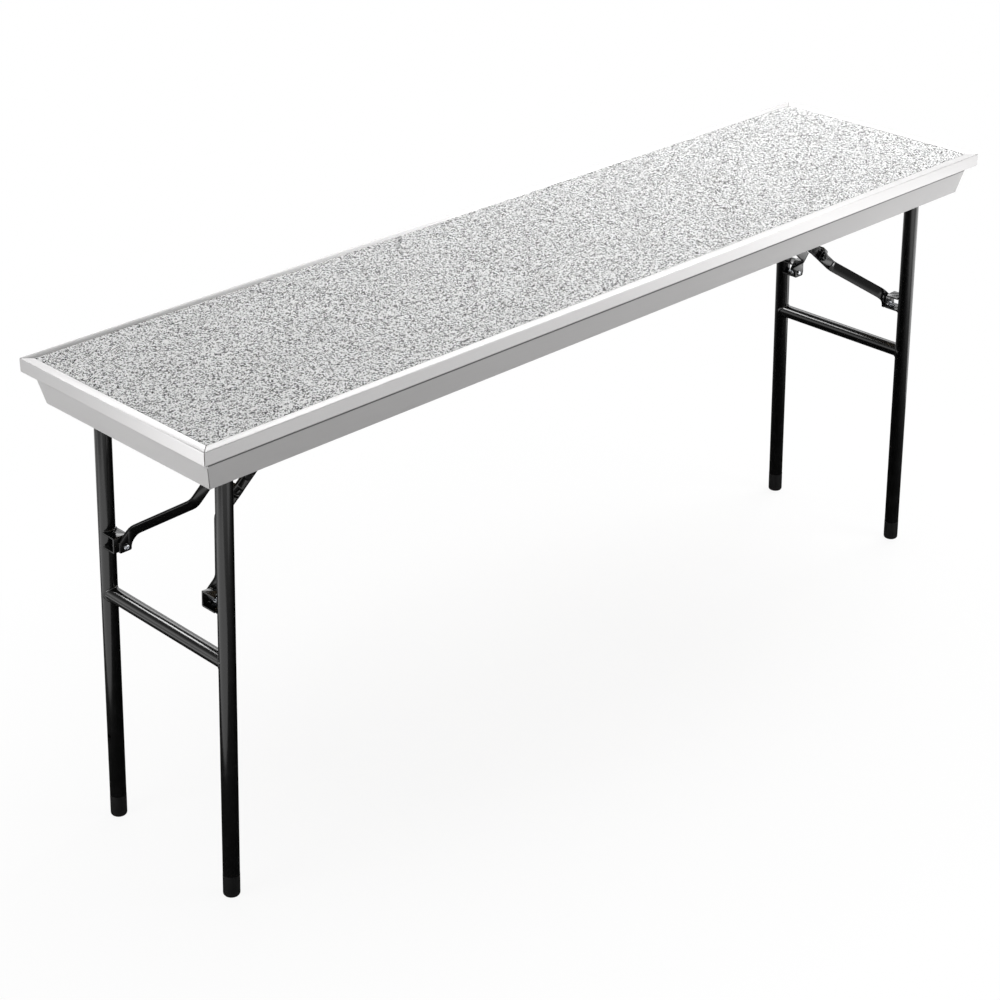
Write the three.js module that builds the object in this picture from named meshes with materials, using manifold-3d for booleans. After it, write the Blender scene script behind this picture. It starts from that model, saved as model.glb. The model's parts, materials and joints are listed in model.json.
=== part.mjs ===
// Choir riser: one folding standing platform with two folding leg frames.
// Millimetres, +Z up. Origin on the floor under the middle of the deck.
// +X runs along the deck, -Y is the long front side.

import * as THREE from 'three';
import { mergeVertices } from 'three/addons/utils/BufferGeometryUtils.js';
import Module from 'manifold-3d';

const wasm = await Module();
wasm.setup();

// Overall size
const deckLength = 1816;
const deckWidth = 450;
const deckTop = 812.8;

// Edge trim: a C section wrapped round the edge of the board
const trimHeight = 22.6;
const trimLip = 16.4;
const trimWall = 2;
const trimWeb = 2.5;
const trimTopRadius = 1.5;
const trimBottomRadius = 1;
const mitreGap = 0.15;

// Skirt: sheet metal below the trim, leaning inwards to its lower edge
const skirtHeight = 52.5;
const skirtStep = 14.2;
const skirtLean = 10.7;
const skirtSheet = 2;
const skirtTopFlange = 26;
const skirtBottomFlange = 12;
const skirtGap = 0.1;

// Board and carpet
const boardThickness = 15.8;
const boardGap = 0.1;
const carpetEdge = 2.5;
const carpetBelowLip = 0.4;
const carpetGap = 0.05;

// Leg frames
const legRadius = 13.5;
const tubeWall = 2;
const legInsetX = 92.5;
const legInsetY = 76.3;
const legSplay = 31.5;
const hingeHeight = 768;
const legAboveHinge = 13;
const crossbarRadius = 12.7;
const crossbarHeight = 412;
const footHeight = 38;
const footRadius = 13.7;
const footFlat = 8;
const footRounding = 5;
const footStem = 30;
const footGap = 0.05;
const stemClearance = 0.2;
const glideHoleRadius = 4;
const glideHoleHeight = 153;

// Hinge hardware under the board
const pinRadius = 5;
const pinHoleRadius = 5.3;
const pinHeadRadius = 8;
const pinHeadHeight = 3;
const pinHeadBevel = 1.5;
const kneeHeadHeight = 1.5;
const seatGap = 0.1;
const plateThickness = 2.6;
const cheekThickness = 3;
const hingeCheekGap = 1;
const hingeCheekDrop = 12;
const hingePlateX = 32;
const hingePlateReach = 34;
const linkPlateReach = 52;

// Channels welded to the legs, which carry the lower ends of the braces
const channelLength = 28;
const channelOutboard = 15.3;
const channelHeight = 26.8;
const channelSheet = 2.5;
const channelBevel = 1.5;
const channelFace = 38.7;
const channelStart = 9;
const channelMiddle = 510.8;
const weldGap = 0.3;

// Brace arms: flat bars bent twice
const armWidth = 20;
const armThickness = 4.5;
const armInnerFace = 28.5;
const armSlope = THREE.MathUtils.degToRad(40.5);
const armBendX = -744;
const armBendZ = 580.4;
const armFoldBack = 81;
const armBendRadius = 7;
const barTail = 160;
const barHead = 110;
const barDepth = 80;
const tabGap = 0.3;
const tabInboard = 9.9;
const tabOutboard = 12.6;
const tabBottom = 7.4;
const tabFillet = 9;
const tabCorner = 1.5;
const tieBoltAlong = 47.3;
const kneeAlong = 77.75;
const armPastKnee = 14;
const overCentre = THREE.MathUtils.degToRad(1.5);

// Pivot between a brace arm and its leg channel
const pivotInboard = 5.1;
const pivotHeight = 504.9;
const pivotRadius = 3;
const pivotHoleRadius = 3.3;
const pivotHeadRadius = 4.8;
const pivotHeadHeight = 2.8;
const pivotTail = 18;
const pivotShankStart = 0.25;
const pivotNutWidth = 10;
const pivotNutHeight = 5;

// Strap that ties the two arms of a brace
const strapLength = 16;
const strapSheet = 3;
const strapRise = 12;
const strapDrop = 7;
const strapGap = 0.3;
const strapBevel = 2;
const tieBoltRadius = 4;
const tieBoltHoleRadius = 4.3;
const tieBoltHeadRadius = 7;
const tieBoltHeadHeight = 2.5;
const tieBoltTail = 2.5;
const tieRivetStand = 0.8;
const countersinkGap = 0.2;
const tieNutWidth = 13;
const tieNutHeight = 6.5;

// Upper link: pressed channel between the arms
const linkSheet = 3;
const linkHalfWidth = 27.9;
const linkHeel = 20;
const linkBevel = 1.5;
const linkCorner = 6;
const linkSideGap = 0.4;

// Holes for the wood screws
const screwHoleRadius = 2.3;
const screwEdge = 7;

// Facets of round pieces, and how far a cutter stands past what it cuts
const tubeFacets = 32;
const rodFacets = 14;
const boltFacets = 12;
const screwFacets = 6;
const cutMargin = 1;
const joinOverlap = 0.5;

const frontLegY = -(deckWidth / 2 - legInsetY);
const legLean = Math.atan(legSplay / deckTop);
const boardBottom = deckTop - trimHeight + trimWall + boardGap;
const boardTop = boardBottom + boardThickness;
const skirtTop = deckTop - trimHeight - skirtGap;

// Leg axis at a height, for the left end of the deck
function legAxisX(height) {
  return -(deckLength / 2 - legInsetX + legSplay * (1 - height / deckTop));
}

const hinge = new THREE.Vector3(legAxisX(hingeHeight), 0, hingeHeight);
const legLength = hingeHeight / Math.cos(legLean);
const armDirection = new THREE.Vector2(Math.cos(armSlope), Math.sin(armSlope));
const armBend = new THREE.Vector2(armBendX, armBendZ);
const knee = armBend.clone().addScaledVector(armDirection, kneeAlong);
const tieBolt = armBend.clone().addScaledVector(armDirection, tieBoltAlong);
const pivot = new THREE.Vector2(legAxisX(pivotHeight) + pivotInboard, pivotHeight);
const linkDirection = knee.clone().sub(pivot).normalize().rotateAround(new THREE.Vector2(), overCentre);
const linkLength = (hingeHeight - knee.y) / linkDirection.y;
const linkHinge = knee.clone().addScaledVector(linkDirection, linkLength);
const linkSlope = Math.atan2(linkDirection.y, linkDirection.x);
const channelFaceY = Math.abs(frontLegY) - channelFace;
const tabOuterFace = channelFaceY - tabGap;
const strapOuterFace = armInnerFace + armThickness + strapGap + strapSheet;

// Materials

function blackPaint() {
  return new THREE.MeshStandardMaterial({ color: 0x1c1c1d, roughness: 0.35, metalness: 0.2 });
}

function trimMetal() {
  return new THREE.MeshStandardMaterial({ color: 0xd3d4d5, roughness: 0.35, metalness: 0.6 });
}

function skirtPaint() {
  return new THREE.MeshStandardMaterial({ color: 0xa9aaab, roughness: 0.5, metalness: 0.2 });
}

function carpetPile() {
  return new THREE.MeshStandardMaterial({ color: 0x8a8b8c, roughness: 0.97, metalness: 0 });
}

function plywood() {
  return new THREE.MeshStandardMaterial({ color: 0xb89a6c, roughness: 0.8, metalness: 0 });
}

function zincSteel() {
  return new THREE.MeshStandardMaterial({ color: 0xb4b6b8, roughness: 0.35, metalness: 0.9 });
}

function footRubber() {
  return new THREE.MeshStandardMaterial({ color: 0x121212, roughness: 0.75, metalness: 0 });
}

// Solid helpers

function toManifold(geometry) {
  const plain = geometry.clone();
  plain.deleteAttribute('normal');
  plain.deleteAttribute('uv');
  const merged = mergeVertices(plain, 1e-4);
  const solid = new wasm.Mesh({
    numProp: 3,
    vertProperties: new Float32Array(merged.attributes.position.array),
    triVerts: new Uint32Array(merged.index.array),
  });
  return new wasm.Manifold(solid);
}

function toGeometry(manifold) {
  const solid = manifold.getMesh();
  const geometry = new THREE.BufferGeometry();
  geometry.setAttribute('position', new THREE.BufferAttribute(new Float32Array(solid.vertProperties), 3));
  geometry.setIndex(new THREE.BufferAttribute(new Uint32Array(solid.triVerts), 1));
  geometry.computeVertexNormals();
  return geometry;
}

function subtract(geometry, cutters) {
  let solid = toManifold(geometry);
  for (const cutter of cutters) {
    solid = solid.subtract(toManifold(cutter));
  }
  return toGeometry(solid);
}

function intersect(first, second) {
  return toGeometry(toManifold(first).intersect(toManifold(second)));
}

function unite(geometries) {
  let solid = toManifold(geometries[0]);
  for (const geometry of geometries.slice(1)) {
    solid = solid.add(toManifold(geometry));
  }
  return toGeometry(solid);
}

function named(name, geometry, material) {
  const mesh = new THREE.Mesh(geometry, material);
  mesh.name = name;
  return mesh;
}

// Rod along Y, from y0 to y1, through the point (x, z)
function rodY(radius, y0, y1, x, z, segments = rodFacets) {
  const rod = new THREE.CylinderGeometry(radius, radius, y1 - y0, segments);
  return rod.translate(x, (y0 + y1) / 2, z);
}

// Rod along Z
function rodZ(radius, z0, z1, x, y, segments = rodFacets) {
  const rod = new THREE.CylinderGeometry(radius, radius, z1 - z0, segments);
  return rod.rotateX(Math.PI / 2).translate(x, y, (z0 + z1) / 2);
}

// Rod along X
function rodX(radius, x0, x1, y, z, segments = rodFacets) {
  const rod = new THREE.CylinderGeometry(radius, radius, x1 - x0, segments);
  return rod.rotateZ(Math.PI / 2).translate((x0 + x1) / 2, y, z);
}

// Box from its two corners
function slab(x0, x1, y0, y1, z0, z1) {
  const box = new THREE.BoxGeometry(x1 - x0, y1 - y0, z1 - z0);
  return box.translate((x0 + x1) / 2, (y0 + y1) / 2, (z0 + z1) / 2);
}

function polygon(points) {
  return new THREE.Shape(points.map(([u, v]) => new THREE.Vector2(u, v)));
}

// Section drawn in (y, z) and drawn out along X from x0 to x1
function sectionAlongX(shape, x0, x1) {
  const solid = new THREE.ExtrudeGeometry(shape, { depth: x1 - x0, bevelEnabled: false, curveSegments: 6 });
  const axes = new THREE.Matrix4().makeBasis(
    new THREE.Vector3(0, 1, 0),
    new THREE.Vector3(0, 0, 1),
    new THREE.Vector3(1, 0, 0),
  );
  return solid.applyMatrix4(axes).translate(x0, 0, 0);
}

// Outline drawn in (x, z) and given thickness along Y from y0 to y1
function outlineAlongY(shape, y0, y1) {
  const solid = new THREE.ExtrudeGeometry(shape, { depth: y1 - y0, bevelEnabled: false, curveSegments: 4 });
  return solid.rotateX(Math.PI / 2).translate(0, y1, 0);
}

// Turned part on the Z axis from a closed (radius, height) profile
function turned(profile, segments) {
  const points = profile.map(([r, z]) => new THREE.Vector2(r, z));
  return new THREE.LatheGeometry(points, segments).rotateX(Math.PI / 2);
}

// Hexagon nut along Y, from y0 to y1, with flats above and below
function nutY(width, y0, y1, x, z) {
  const nut = new THREE.CylinderGeometry(width / Math.sqrt(3), width / Math.sqrt(3), y1 - y0, 6);
  return nut.rotateY(Math.PI / 6).translate(x, (y0 + y1) / 2, z);
}

// Rivet with a flat head at both ends, along Y, symmetric about y = middle
function rivetY(radius, halfGrip, headRadius, headHeight, x, middle, z) {
  const end = halfGrip + headHeight;
  const rim = headRadius - pinHeadBevel;
  const profile = [
    [0, -end],
    [rim, -end],
    [headRadius, -halfGrip],
    [radius, -halfGrip],
    [radius, halfGrip],
    [headRadius, halfGrip],
    [rim, end],
    [0, end],
  ];
  return turned(profile, rodFacets).rotateX(Math.PI / 2).translate(x, middle, z);
}

// Rounded corner of a section: points on a quarter turn about (u, v)
function corner(u, v, radius, fromAngle, steps) {
  const points = [];
  for (let i = 0; i <= steps; i += 1) {
    const angle = fromAngle + (i * Math.PI) / 2 / steps;
    points.push([u + radius * Math.cos(angle), v + radius * Math.sin(angle)]);
  }
  return points;
}

// Edge rail of the deck: a section in (inset from the edge, height), mitred at both ends.
// The rail is drawn for the side that faces -Y and turned to its own side.
function mitredRail(section, sideLength, sideOffset) {
  const rail = sectionAlongX(polygon(section), -sideLength / 2, sideLength / 2);
  const position = rail.attributes.position;
  for (let i = 0; i < position.count; i += 1) {
    const inset = position.getY(i);
    const halfLength = sideLength / 2 - inset - mitreGap;
    position.setX(i, Math.sign(position.getX(i)) * halfLength);
    position.setY(i, inset - sideOffset);
  }
  rail.computeVertexNormals();
  return rail;
}

function trimSection() {
  const bottom = deckTop - trimHeight;
  return [
    ...corner(trimBottomRadius, bottom + trimBottomRadius, trimBottomRadius, Math.PI, 2),
    [trimLip, bottom],
    [trimLip, bottom + trimWall],
    [trimWeb, bottom + trimWall],
    [trimWeb, deckTop - trimWall],
    [trimLip, deckTop - trimWall],
    [trimLip, deckTop],
    ...corner(trimTopRadius, deckTop - trimTopRadius, trimTopRadius, Math.PI / 2, 2),
  ];
}

function skirtSection() {
  const bottom = skirtTop - skirtHeight;
  const lowInset = skirtStep + skirtLean;
  return [
    [lowInset, bottom],
    [lowInset + skirtBottomFlange, bottom],
    [lowInset + skirtBottomFlange, bottom + skirtSheet],
    [lowInset + skirtSheet, bottom + skirtSheet],
    [skirtStep + skirtSheet * (1 + skirtLean / skirtHeight), skirtTop - skirtSheet],
    [skirtStep + skirtTopFlange, skirtTop - skirtSheet],
    [skirtStep + skirtTopFlange, skirtTop],
    [skirtStep, skirtTop],
  ];
}

const sides = [
  { name: 'front', turn: 0, length: deckLength, offset: deckWidth / 2, screws: 5 },
  { name: 'right', turn: Math.PI / 2, length: deckWidth, offset: deckLength / 2, screws: 2 },
  { name: 'back', turn: Math.PI, length: deckLength, offset: deckWidth / 2, screws: 5 },
  { name: 'left', turn: -Math.PI / 2, length: deckWidth, offset: deckLength / 2, screws: 2 },
];

const railScrewInset = skirtStep + skirtTopFlange - screwEdge;

// Screw places of one side, as [x, y] before the side is turned
function railScrewPlaces(side) {
  const run = side.length - 2 * railScrewInset;
  const places = [];
  for (let i = 0; i < side.screws; i += 1) {
    places.push([(run * (i + 0.5)) / side.screws - run / 2, railScrewInset - side.offset]);
  }
  return places;
}

function screwHole(x, y, z0, z1) {
  return rodZ(screwHoleRadius, z0 - cutMargin, z1 + cutMargin, x, y, screwFacets);
}

// Screw holes at the four corners of a bracket plate
function plateScrewPlaces(reach) {
  const places = [];
  for (const sx of [-1, 1]) {
    for (const sy of [-1, 1]) {
      places.push([sx * (hingePlateX / 2 - screwEdge), sy * (reach - screwEdge)]);
    }
  }
  return places;
}

// Deck

function deckBoard() {
  const inset = trimWeb + boardGap;
  const x = deckLength / 2 - inset;
  const y = deckWidth / 2 - inset;
  return named('deck_board', slab(-x, x, -y, y, boardBottom, boardTop), plywood());
}

function deckCarpet() {
  const edge = trimWeb + boardGap;
  const field = trimLip + boardGap;
  const under = slab(
    edge - deckLength / 2, deckLength / 2 - edge,
    edge - deckWidth / 2, deckWidth / 2 - edge,
    boardTop + carpetGap, boardTop + carpetEdge,
  );
  const pile = slab(
    field - deckLength / 2, deckLength / 2 - field,
    field - deckWidth / 2, deckWidth / 2 - field,
    boardTop + carpetGap, deckTop - carpetBelowLip,
  );
  return named('deck_carpet', unite([under, pile]), carpetPile());
}

function trimRail(side) {
  const rail = mitredRail(trimSection(), side.length, side.offset);
  const mesh = named(`trim_${side.name}`, rail, trimMetal());
  mesh.rotation.z = side.turn;
  return mesh;
}

function skirtRail(side) {
  const rail = mitredRail(skirtSection(), side.length, side.offset);
  const holes = railScrewPlaces(side).map(([x, y]) => screwHole(x, y, skirtTop - skirtSheet, skirtTop));
  const mesh = named(`skirt_${side.name}`, subtract(rail, holes), skirtPaint());
  mesh.rotation.z = side.turn;
  return mesh;
}

// Plate with two hanging cheeks, made for a pin at the origin of (x, z) = (0, 0)
function cheekBracket(reach, cheekInner, pinHeight) {
  const top = boardBottom - boardGap - pinHeight;
  const low = top - plateThickness;
  const outer = cheekInner + cheekThickness;
  const plate = slab(-hingePlateX / 2, hingePlateX / 2, -reach, reach, low, top);
  const cheek = new THREE.Shape();
  cheek.moveTo(hingePlateX / 2, low + joinOverlap);
  cheek.lineTo(-hingePlateX / 2, low + joinOverlap);
  cheek.absarc(0, 0, hingeCheekDrop, Math.PI, 2 * Math.PI, false);
  const left = outlineAlongY(cheek, -outer, -cheekInner);
  const right = outlineAlongY(cheek, cheekInner, outer);
  const cutters = [rodY(pinHoleRadius, -outer - cutMargin, outer + cutMargin, 0, 0)];
  for (const [x, y] of plateScrewPlaces(reach)) {
    cutters.push(screwHole(x, y, low, top));
  }
  return subtract(unite([plate, left, right]), cutters);
}

// One end of the riser, drawn for the left end

function legTube(name, y, sideHole) {
  const bottom = -(legLength - footHeight);
  const tube = turned([
    [legRadius - tubeWall, bottom],
    [legRadius, bottom],
    [legRadius, legAboveHinge],
    [legRadius - tubeWall, legAboveHinge],
    [legRadius - tubeWall, bottom],
  ], tubeFacets);
  const cutters = [rodY(pinHoleRadius, -legRadius - cutMargin, legRadius + cutMargin, 0, 0)];
  if (sideHole) {
    const drop = -(hingeHeight - glideHoleHeight) / Math.cos(legLean);
    cutters.push(rodX(glideHoleRadius, -legRadius - cutMargin, -legRadius / 2, 0, drop));
  }
  const mesh = named(name, subtract(tube, cutters), blackPaint());
  mesh.position.y = y;
  return mesh;
}

function footCap(name, y) {
  const top = -(legLength - footHeight) - footGap;
  const bottom = -legLength - footFlat * Math.sin(legLean);
  const profile = [[0, bottom], [footFlat, bottom]];
  const steps = 3;
  for (let i = 1; i <= steps; i += 1) {
    const angle = (i * Math.PI) / 2 / steps;
    const r = footFlat + (footRadius - footFlat) * Math.sin(angle);
    profile.push([r, bottom + footRounding * (1 - Math.cos(angle))]);
  }
  const stem = legRadius - tubeWall - stemClearance;
  profile.push([footRadius, top], [stem, top], [stem, top + footStem], [0, top + footStem]);
  const reach = 2 * footRadius;
  const floor = slab(-reach, reach, -reach, reach, -reach, 0);
  floor.rotateY(-legLean).translate(0, 0, -legLength);
  const mesh = named(name, subtract(turned(profile, tubeFacets), [floor]), footRubber());
  mesh.position.y = y;
  return mesh;
}

function crossbar(name) {
  const drop = -(hingeHeight - crossbarHeight) / Math.cos(legLean);
  const half = Math.abs(frontLegY);
  const outer = rodY(crossbarRadius, -half, half, 0, drop, tubeFacets);
  const cutters = [rodY(crossbarRadius - tubeWall, -half - cutMargin, half + cutMargin, 0, drop, tubeFacets)];
  const reach = 2 * crossbarRadius;
  for (const y of [-half, half]) {
    cutters.push(rodZ(legRadius + weldGap, drop - reach, drop + reach, 0, y, tubeFacets));
  }
  return named(name, subtract(outer, cutters), blackPaint());
}

// Channel on the inner side of a leg; open towards the leg and at both ends
function legChannel(name, y) {
  const middle = -(hingeHeight - channelMiddle) / Math.cos(legLean);
  const half = channelHeight / 2;
  const face = channelFace;
  const back = channelFace - channelSheet;
  const section = [
    [channelStart, -half],
    [face - channelBevel, -half],
    [face, -half + channelBevel],
    [face, half - channelBevel],
    [face - channelBevel, half],
    [channelStart, half],
    [channelStart, half - channelSheet],
    [back, half - channelSheet],
    [back, -half + channelSheet],
    [channelStart, -half + channelSheet],
  ];
  const channel = sectionAlongX(polygon(section), -channelOutboard, channelLength - channelOutboard);
  channel.translate(0, 0, middle);
  const pin = pivotInLegFrame();
  const cutters = [
    rodZ(legRadius + weldGap, middle - channelHeight, middle + channelHeight, 0, 0, tubeFacets),
    rodY(pivotHoleRadius, back - cutMargin, face + cutMargin, pin.x, pin.z),
  ];
  const solid = subtract(channel, cutters);
  const mesh = named(name, y > 0 ? mirroredY(solid) : solid, blackPaint());
  mesh.position.y = y;
  return mesh;
}

// Mirror image front to back, with its faces turned outwards again
function mirroredY(geometry) {
  const mirrored = geometry.clone().scale(1, -1, 1);
  const index = mirrored.index;
  for (let i = 0; i < index.count; i += 3) {
    const first = index.getX(i);
    index.setX(i, index.getX(i + 2));
    index.setX(i + 2, first);
  }
  mirrored.computeVertexNormals();
  return mirrored;
}

// Pivot of the brace, seen in the leaning frame of the legs
function pivotInLegFrame() {
  const place = new THREE.Vector3(pivot.x, 0, pivot.y).sub(hinge);
  return place.applyAxisAngle(new THREE.Vector3(0, 1, 0), -legLean);
}

// Threaded tail and nut that close one pivot inside its channel
function pivotNut(name, side) {
  const pin = pivotInLegFrame();
  const tailStart = channelFaceY + seatGap;
  const nutStart = channelFaceY + channelSheet + seatGap;
  const tail = rodY(pivotRadius, tailStart, tailStart + pivotTail, pin.x, pin.z, boltFacets);
  const nut = unite([tail, nutY(pivotNutWidth, nutStart, nutStart + pivotNutHeight, pin.x, pin.z)]);
  return named(name, side < 0 ? mirroredY(nut) : nut, zincSteel());
}

// Side outline of a brace arm, in world (x, z)
function armOutline() {
  const half = armWidth / 2;
  const across = new THREE.Vector2(-armDirection.y, armDirection.x);
  const edgeHeight = (x, offset) => (
    armBend.y + (x - armBend.x) * Math.tan(armSlope) + offset / Math.cos(armSlope)
  );
  const xIn = pivot.x + tabInboard;
  const xOut = pivot.x - tabOutboard;
  const low = pivot.y - tabBottom;
  const end = knee.clone().addScaledVector(armDirection, armPastKnee);
  const endLow = end.clone().addScaledVector(across, -half);
  const cornerZ = edgeHeight(xIn, -half);
  const alongX = tabFillet * Math.cos(armSlope);
  const shape = new THREE.Shape();
  shape.moveTo(xOut, low + tabCorner);
  shape.lineTo(xOut + tabCorner, low);
  shape.lineTo(xIn - tabCorner, low);
  shape.lineTo(xIn, low + tabCorner);
  shape.lineTo(xIn, cornerZ - tabFillet);
  shape.quadraticCurveTo(xIn, cornerZ, xIn + alongX, edgeHeight(xIn + alongX, -half));
  shape.lineTo(endLow.x, endLow.y);
  shape.absarc(end.x, end.y, half, armSlope - Math.PI / 2, armSlope + Math.PI / 2, false);
  shape.lineTo(xOut, edgeHeight(xOut, half));
  return shape;
}

// Centre line of a bent bar: corners replaced by short arcs
function roundedPath(points, radius) {
  const path = new THREE.CurvePath();
  let start = points[0];
  for (let i = 1; i < points.length - 1; i += 1) {
    const before = points[i].clone().add(points[i - 1].clone().sub(points[i]).setLength(radius));
    const after = points[i].clone().add(points[i + 1].clone().sub(points[i]).setLength(radius));
    path.add(new THREE.LineCurve(start, before));
    path.add(new THREE.QuadraticBezierCurve(before, points[i], after));
    start = after;
  }
  path.add(new THREE.LineCurve(start, points[points.length - 1]));
  const samples = [];
  for (const piece of path.curves) {
    const steps = piece.isLineCurve ? 1 : 3;
    for (let i = 0; i <= steps; i += 1) {
      const point = piece.getPoint(i / steps);
      if (samples.length === 0 || samples[samples.length - 1].distanceTo(point) > 1e-6) {
        samples.push(point);
      }
    }
  }
  return samples;
}

// Closed strip of even thickness on both sides of a line of points
function strip(points, thickness) {
  const left = [];
  const right = [];
  points.forEach((point, i) => {
    const before = points[Math.max(i - 1, 0)];
    const after = points[Math.min(i + 1, points.length - 1)];
    const direction = after.clone().sub(before).normalize();
    const side = new THREE.Vector2(-direction.y, direction.x).multiplyScalar(thickness / 2);
    left.push(point.clone().add(side));
    right.push(point.clone().sub(side));
  });
  return new THREE.Shape([...right, ...left.reverse()]);
}

// Bent bar before it is trimmed: plan of the bends, drawn out across the bar
function bentBar() {
  const inner = armInnerFace + armThickness / 2;
  const outer = tabOuterFace - armThickness / 2;
  const line = roundedPath([
    new THREE.Vector2(-barTail, outer),
    new THREE.Vector2(-armFoldBack, outer),
    new THREE.Vector2(0, inner),
    new THREE.Vector2(barHead, inner),
  ], armBendRadius);
  const bar = new THREE.ExtrudeGeometry(strip(line, armThickness), { depth: barDepth, bevelEnabled: false });
  bar.translate(0, 0, -barDepth / 2);
  const axes = new THREE.Matrix4().makeBasis(
    new THREE.Vector3(armDirection.x, 0, armDirection.y),
    new THREE.Vector3(0, 1, 0),
    new THREE.Vector3(-armDirection.y, 0, armDirection.x),
  );
  return bar.applyMatrix4(axes).translate(armBend.x, 0, armBend.y);
}

// Countersunk tie bolt, head flush with the inner face of the arm
function tieBoltProfile(clearance, end) {
  const start = armInnerFace;
  const head = tieBoltHeadRadius + clearance;
  const shank = tieBoltRadius + clearance;
  return [[0, start], [head, start], [shank, start + tieBoltHeadHeight], [shank, end], [0, end]];
}

function tieBoltSolid(clearance, end) {
  const bolt = turned(tieBoltProfile(clearance, end), boltFacets);
  return bolt.rotateX(-Math.PI / 2).translate(tieBolt.x, 0, tieBolt.y);
}

function braceArm(name, side) {
  const flat = outlineAlongY(armOutline(), 0, channelFaceY);
  const arm = subtract(intersect(bentBar(), flat), [
    rodY(pinHoleRadius, 0, channelFaceY, knee.x, knee.y),
    rodY(pivotHoleRadius, 0, channelFaceY, pivot.x, pivot.y),
    tieBoltSolid(countersinkGap, strapOuterFace),
  ]);
  return named(name, side < 0 ? mirroredY(arm) : arm, blackPaint());
}

// U strap over the upper edges of both arms, in world (x, z) at its tie bolts
function tieStrap(name) {
  const inner = armInnerFace + armThickness + strapGap;
  const outer = strapOuterFace;
  const top = strapRise + strapSheet;
  const section = [
    [-outer, -strapDrop],
    [-inner, -strapDrop],
    [-inner, strapRise],
    [inner, strapRise],
    [inner, -strapDrop],
    [outer, -strapDrop],
    [outer, top - strapBevel],
    [outer - strapBevel, top],
    [-outer + strapBevel, top],
    [-outer, top - strapBevel],
  ];
  const strap = sectionAlongX(polygon(section), -strapLength / 2, strapLength / 2);
  const hole = rodY(tieBoltHoleRadius, -outer - cutMargin, outer + cutMargin, 0, 0);
  const solid = subtract(strap, [hole]);
  solid.rotateY(-armSlope).translate(tieBolt.x, 0, tieBolt.y);
  return named(name, solid, blackPaint());
}

// Tie bolt of the far arm, with its nut on the outside of the strap
function tieBoltAndNut(name) {
  const start = strapOuterFace + seatGap;
  const nut = nutY(tieNutWidth, start, start + tieNutHeight, tieBolt.x, tieBolt.y);
  const bolt = tieBoltSolid(0, start + tieNutHeight + tieBoltTail);
  return named(name, unite([bolt, nut]), blackPaint());
}

// Tie rivet of the near arm, closed almost flush with the outside of the strap
function tieRivet(name) {
  const rivet = toGeometry(toManifold(tieBoltSolid(0, strapOuterFace + tieRivetStand)));
  return named(name, mirroredY(rivet), blackPaint());
}

// Pivot screw: head on the inner face of the tab, shank only through the tab
function pivotScrew(name, side) {
  const profile = [
    [0, pivotShankStart],
    [pivotRadius, pivotShankStart],
    [pivotRadius, armThickness + seatGap],
    [pivotHeadRadius, armThickness + seatGap],
    [pivotHeadRadius * 0.6, armThickness + pivotHeadHeight],
    [0, armThickness + pivotHeadHeight],
  ];
  const screw = turned(profile, boltFacets).rotateX(Math.PI / 2).translate(pivot.x, tabOuterFace, pivot.y);
  const solid = toGeometry(toManifold(screw));
  return named(name, side < 0 ? mirroredY(solid) : solid, zincSteel());
}

function kneePin(name) {
  const halfGrip = armInnerFace + armThickness + seatGap;
  const pin = rivetY(pinRadius, halfGrip, pinHeadRadius, kneeHeadHeight, knee.x, 0, knee.y);
  return named(name, pin, blackPaint());
}

// Upper link: U channel, web on top, from the knee to a heel beyond its hinge
function upperLink(name) {
  const half = armWidth / 2;
  const section = [
    [-linkHalfWidth, -half],
    [-linkHalfWidth + linkSheet, -half],
    [-linkHalfWidth + linkSheet, half - linkSheet],
    [linkHalfWidth - linkSheet, half - linkSheet],
    [linkHalfWidth - linkSheet, -half],
    [linkHalfWidth, -half],
    [linkHalfWidth, half - linkBevel],
    [linkHalfWidth - linkBevel, half],
    [-linkHalfWidth + linkBevel, half],
    [-linkHalfWidth, half - linkBevel],
  ];
  const channel = sectionAlongX(polygon(section), -half - cutMargin, linkLength + linkHeel);
  const side = new THREE.Shape();
  side.moveTo(0, -half);
  side.lineTo(linkLength + linkHeel - linkCorner, -half);
  side.lineTo(linkLength + linkHeel, -half + linkCorner);
  side.lineTo(linkLength + linkHeel, half + cutMargin);
  side.lineTo(0, half + cutMargin);
  side.absarc(0, 0, half, Math.PI / 2, (3 * Math.PI) / 2, false);
  const reach = linkHalfWidth + cutMargin;
  const trimmed = intersect(channel, outlineAlongY(side, -reach, reach));
  const solid = subtract(trimmed, [
    rodY(pinHoleRadius, -reach, reach, 0, 0),
    rodY(pinHoleRadius, -reach, reach, linkLength, 0),
  ]);
  solid.rotateY(-linkSlope).translate(knee.x, 0, knee.y);
  return named(name, solid, blackPaint());
}

function linkHingePin(name) {
  const halfGrip = linkHalfWidth + linkSideGap + cheekThickness + seatGap;
  const pin = rivetY(pinRadius, halfGrip, pinHeadRadius, pinHeadHeight, linkHinge.x, 0, hingeHeight);
  return named(name, pin, zincSteel());
}

// One rod carries both legs of an end
function legHingeRod(name) {
  const halfGrip = Math.abs(frontLegY) + legRadius + hingeCheekGap + cheekThickness + seatGap;
  const rod = rivetY(pinRadius, halfGrip, pinHeadRadius, pinHeadHeight, hinge.x, 0, hingeHeight);
  return named(name, rod, zincSteel());
}

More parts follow.
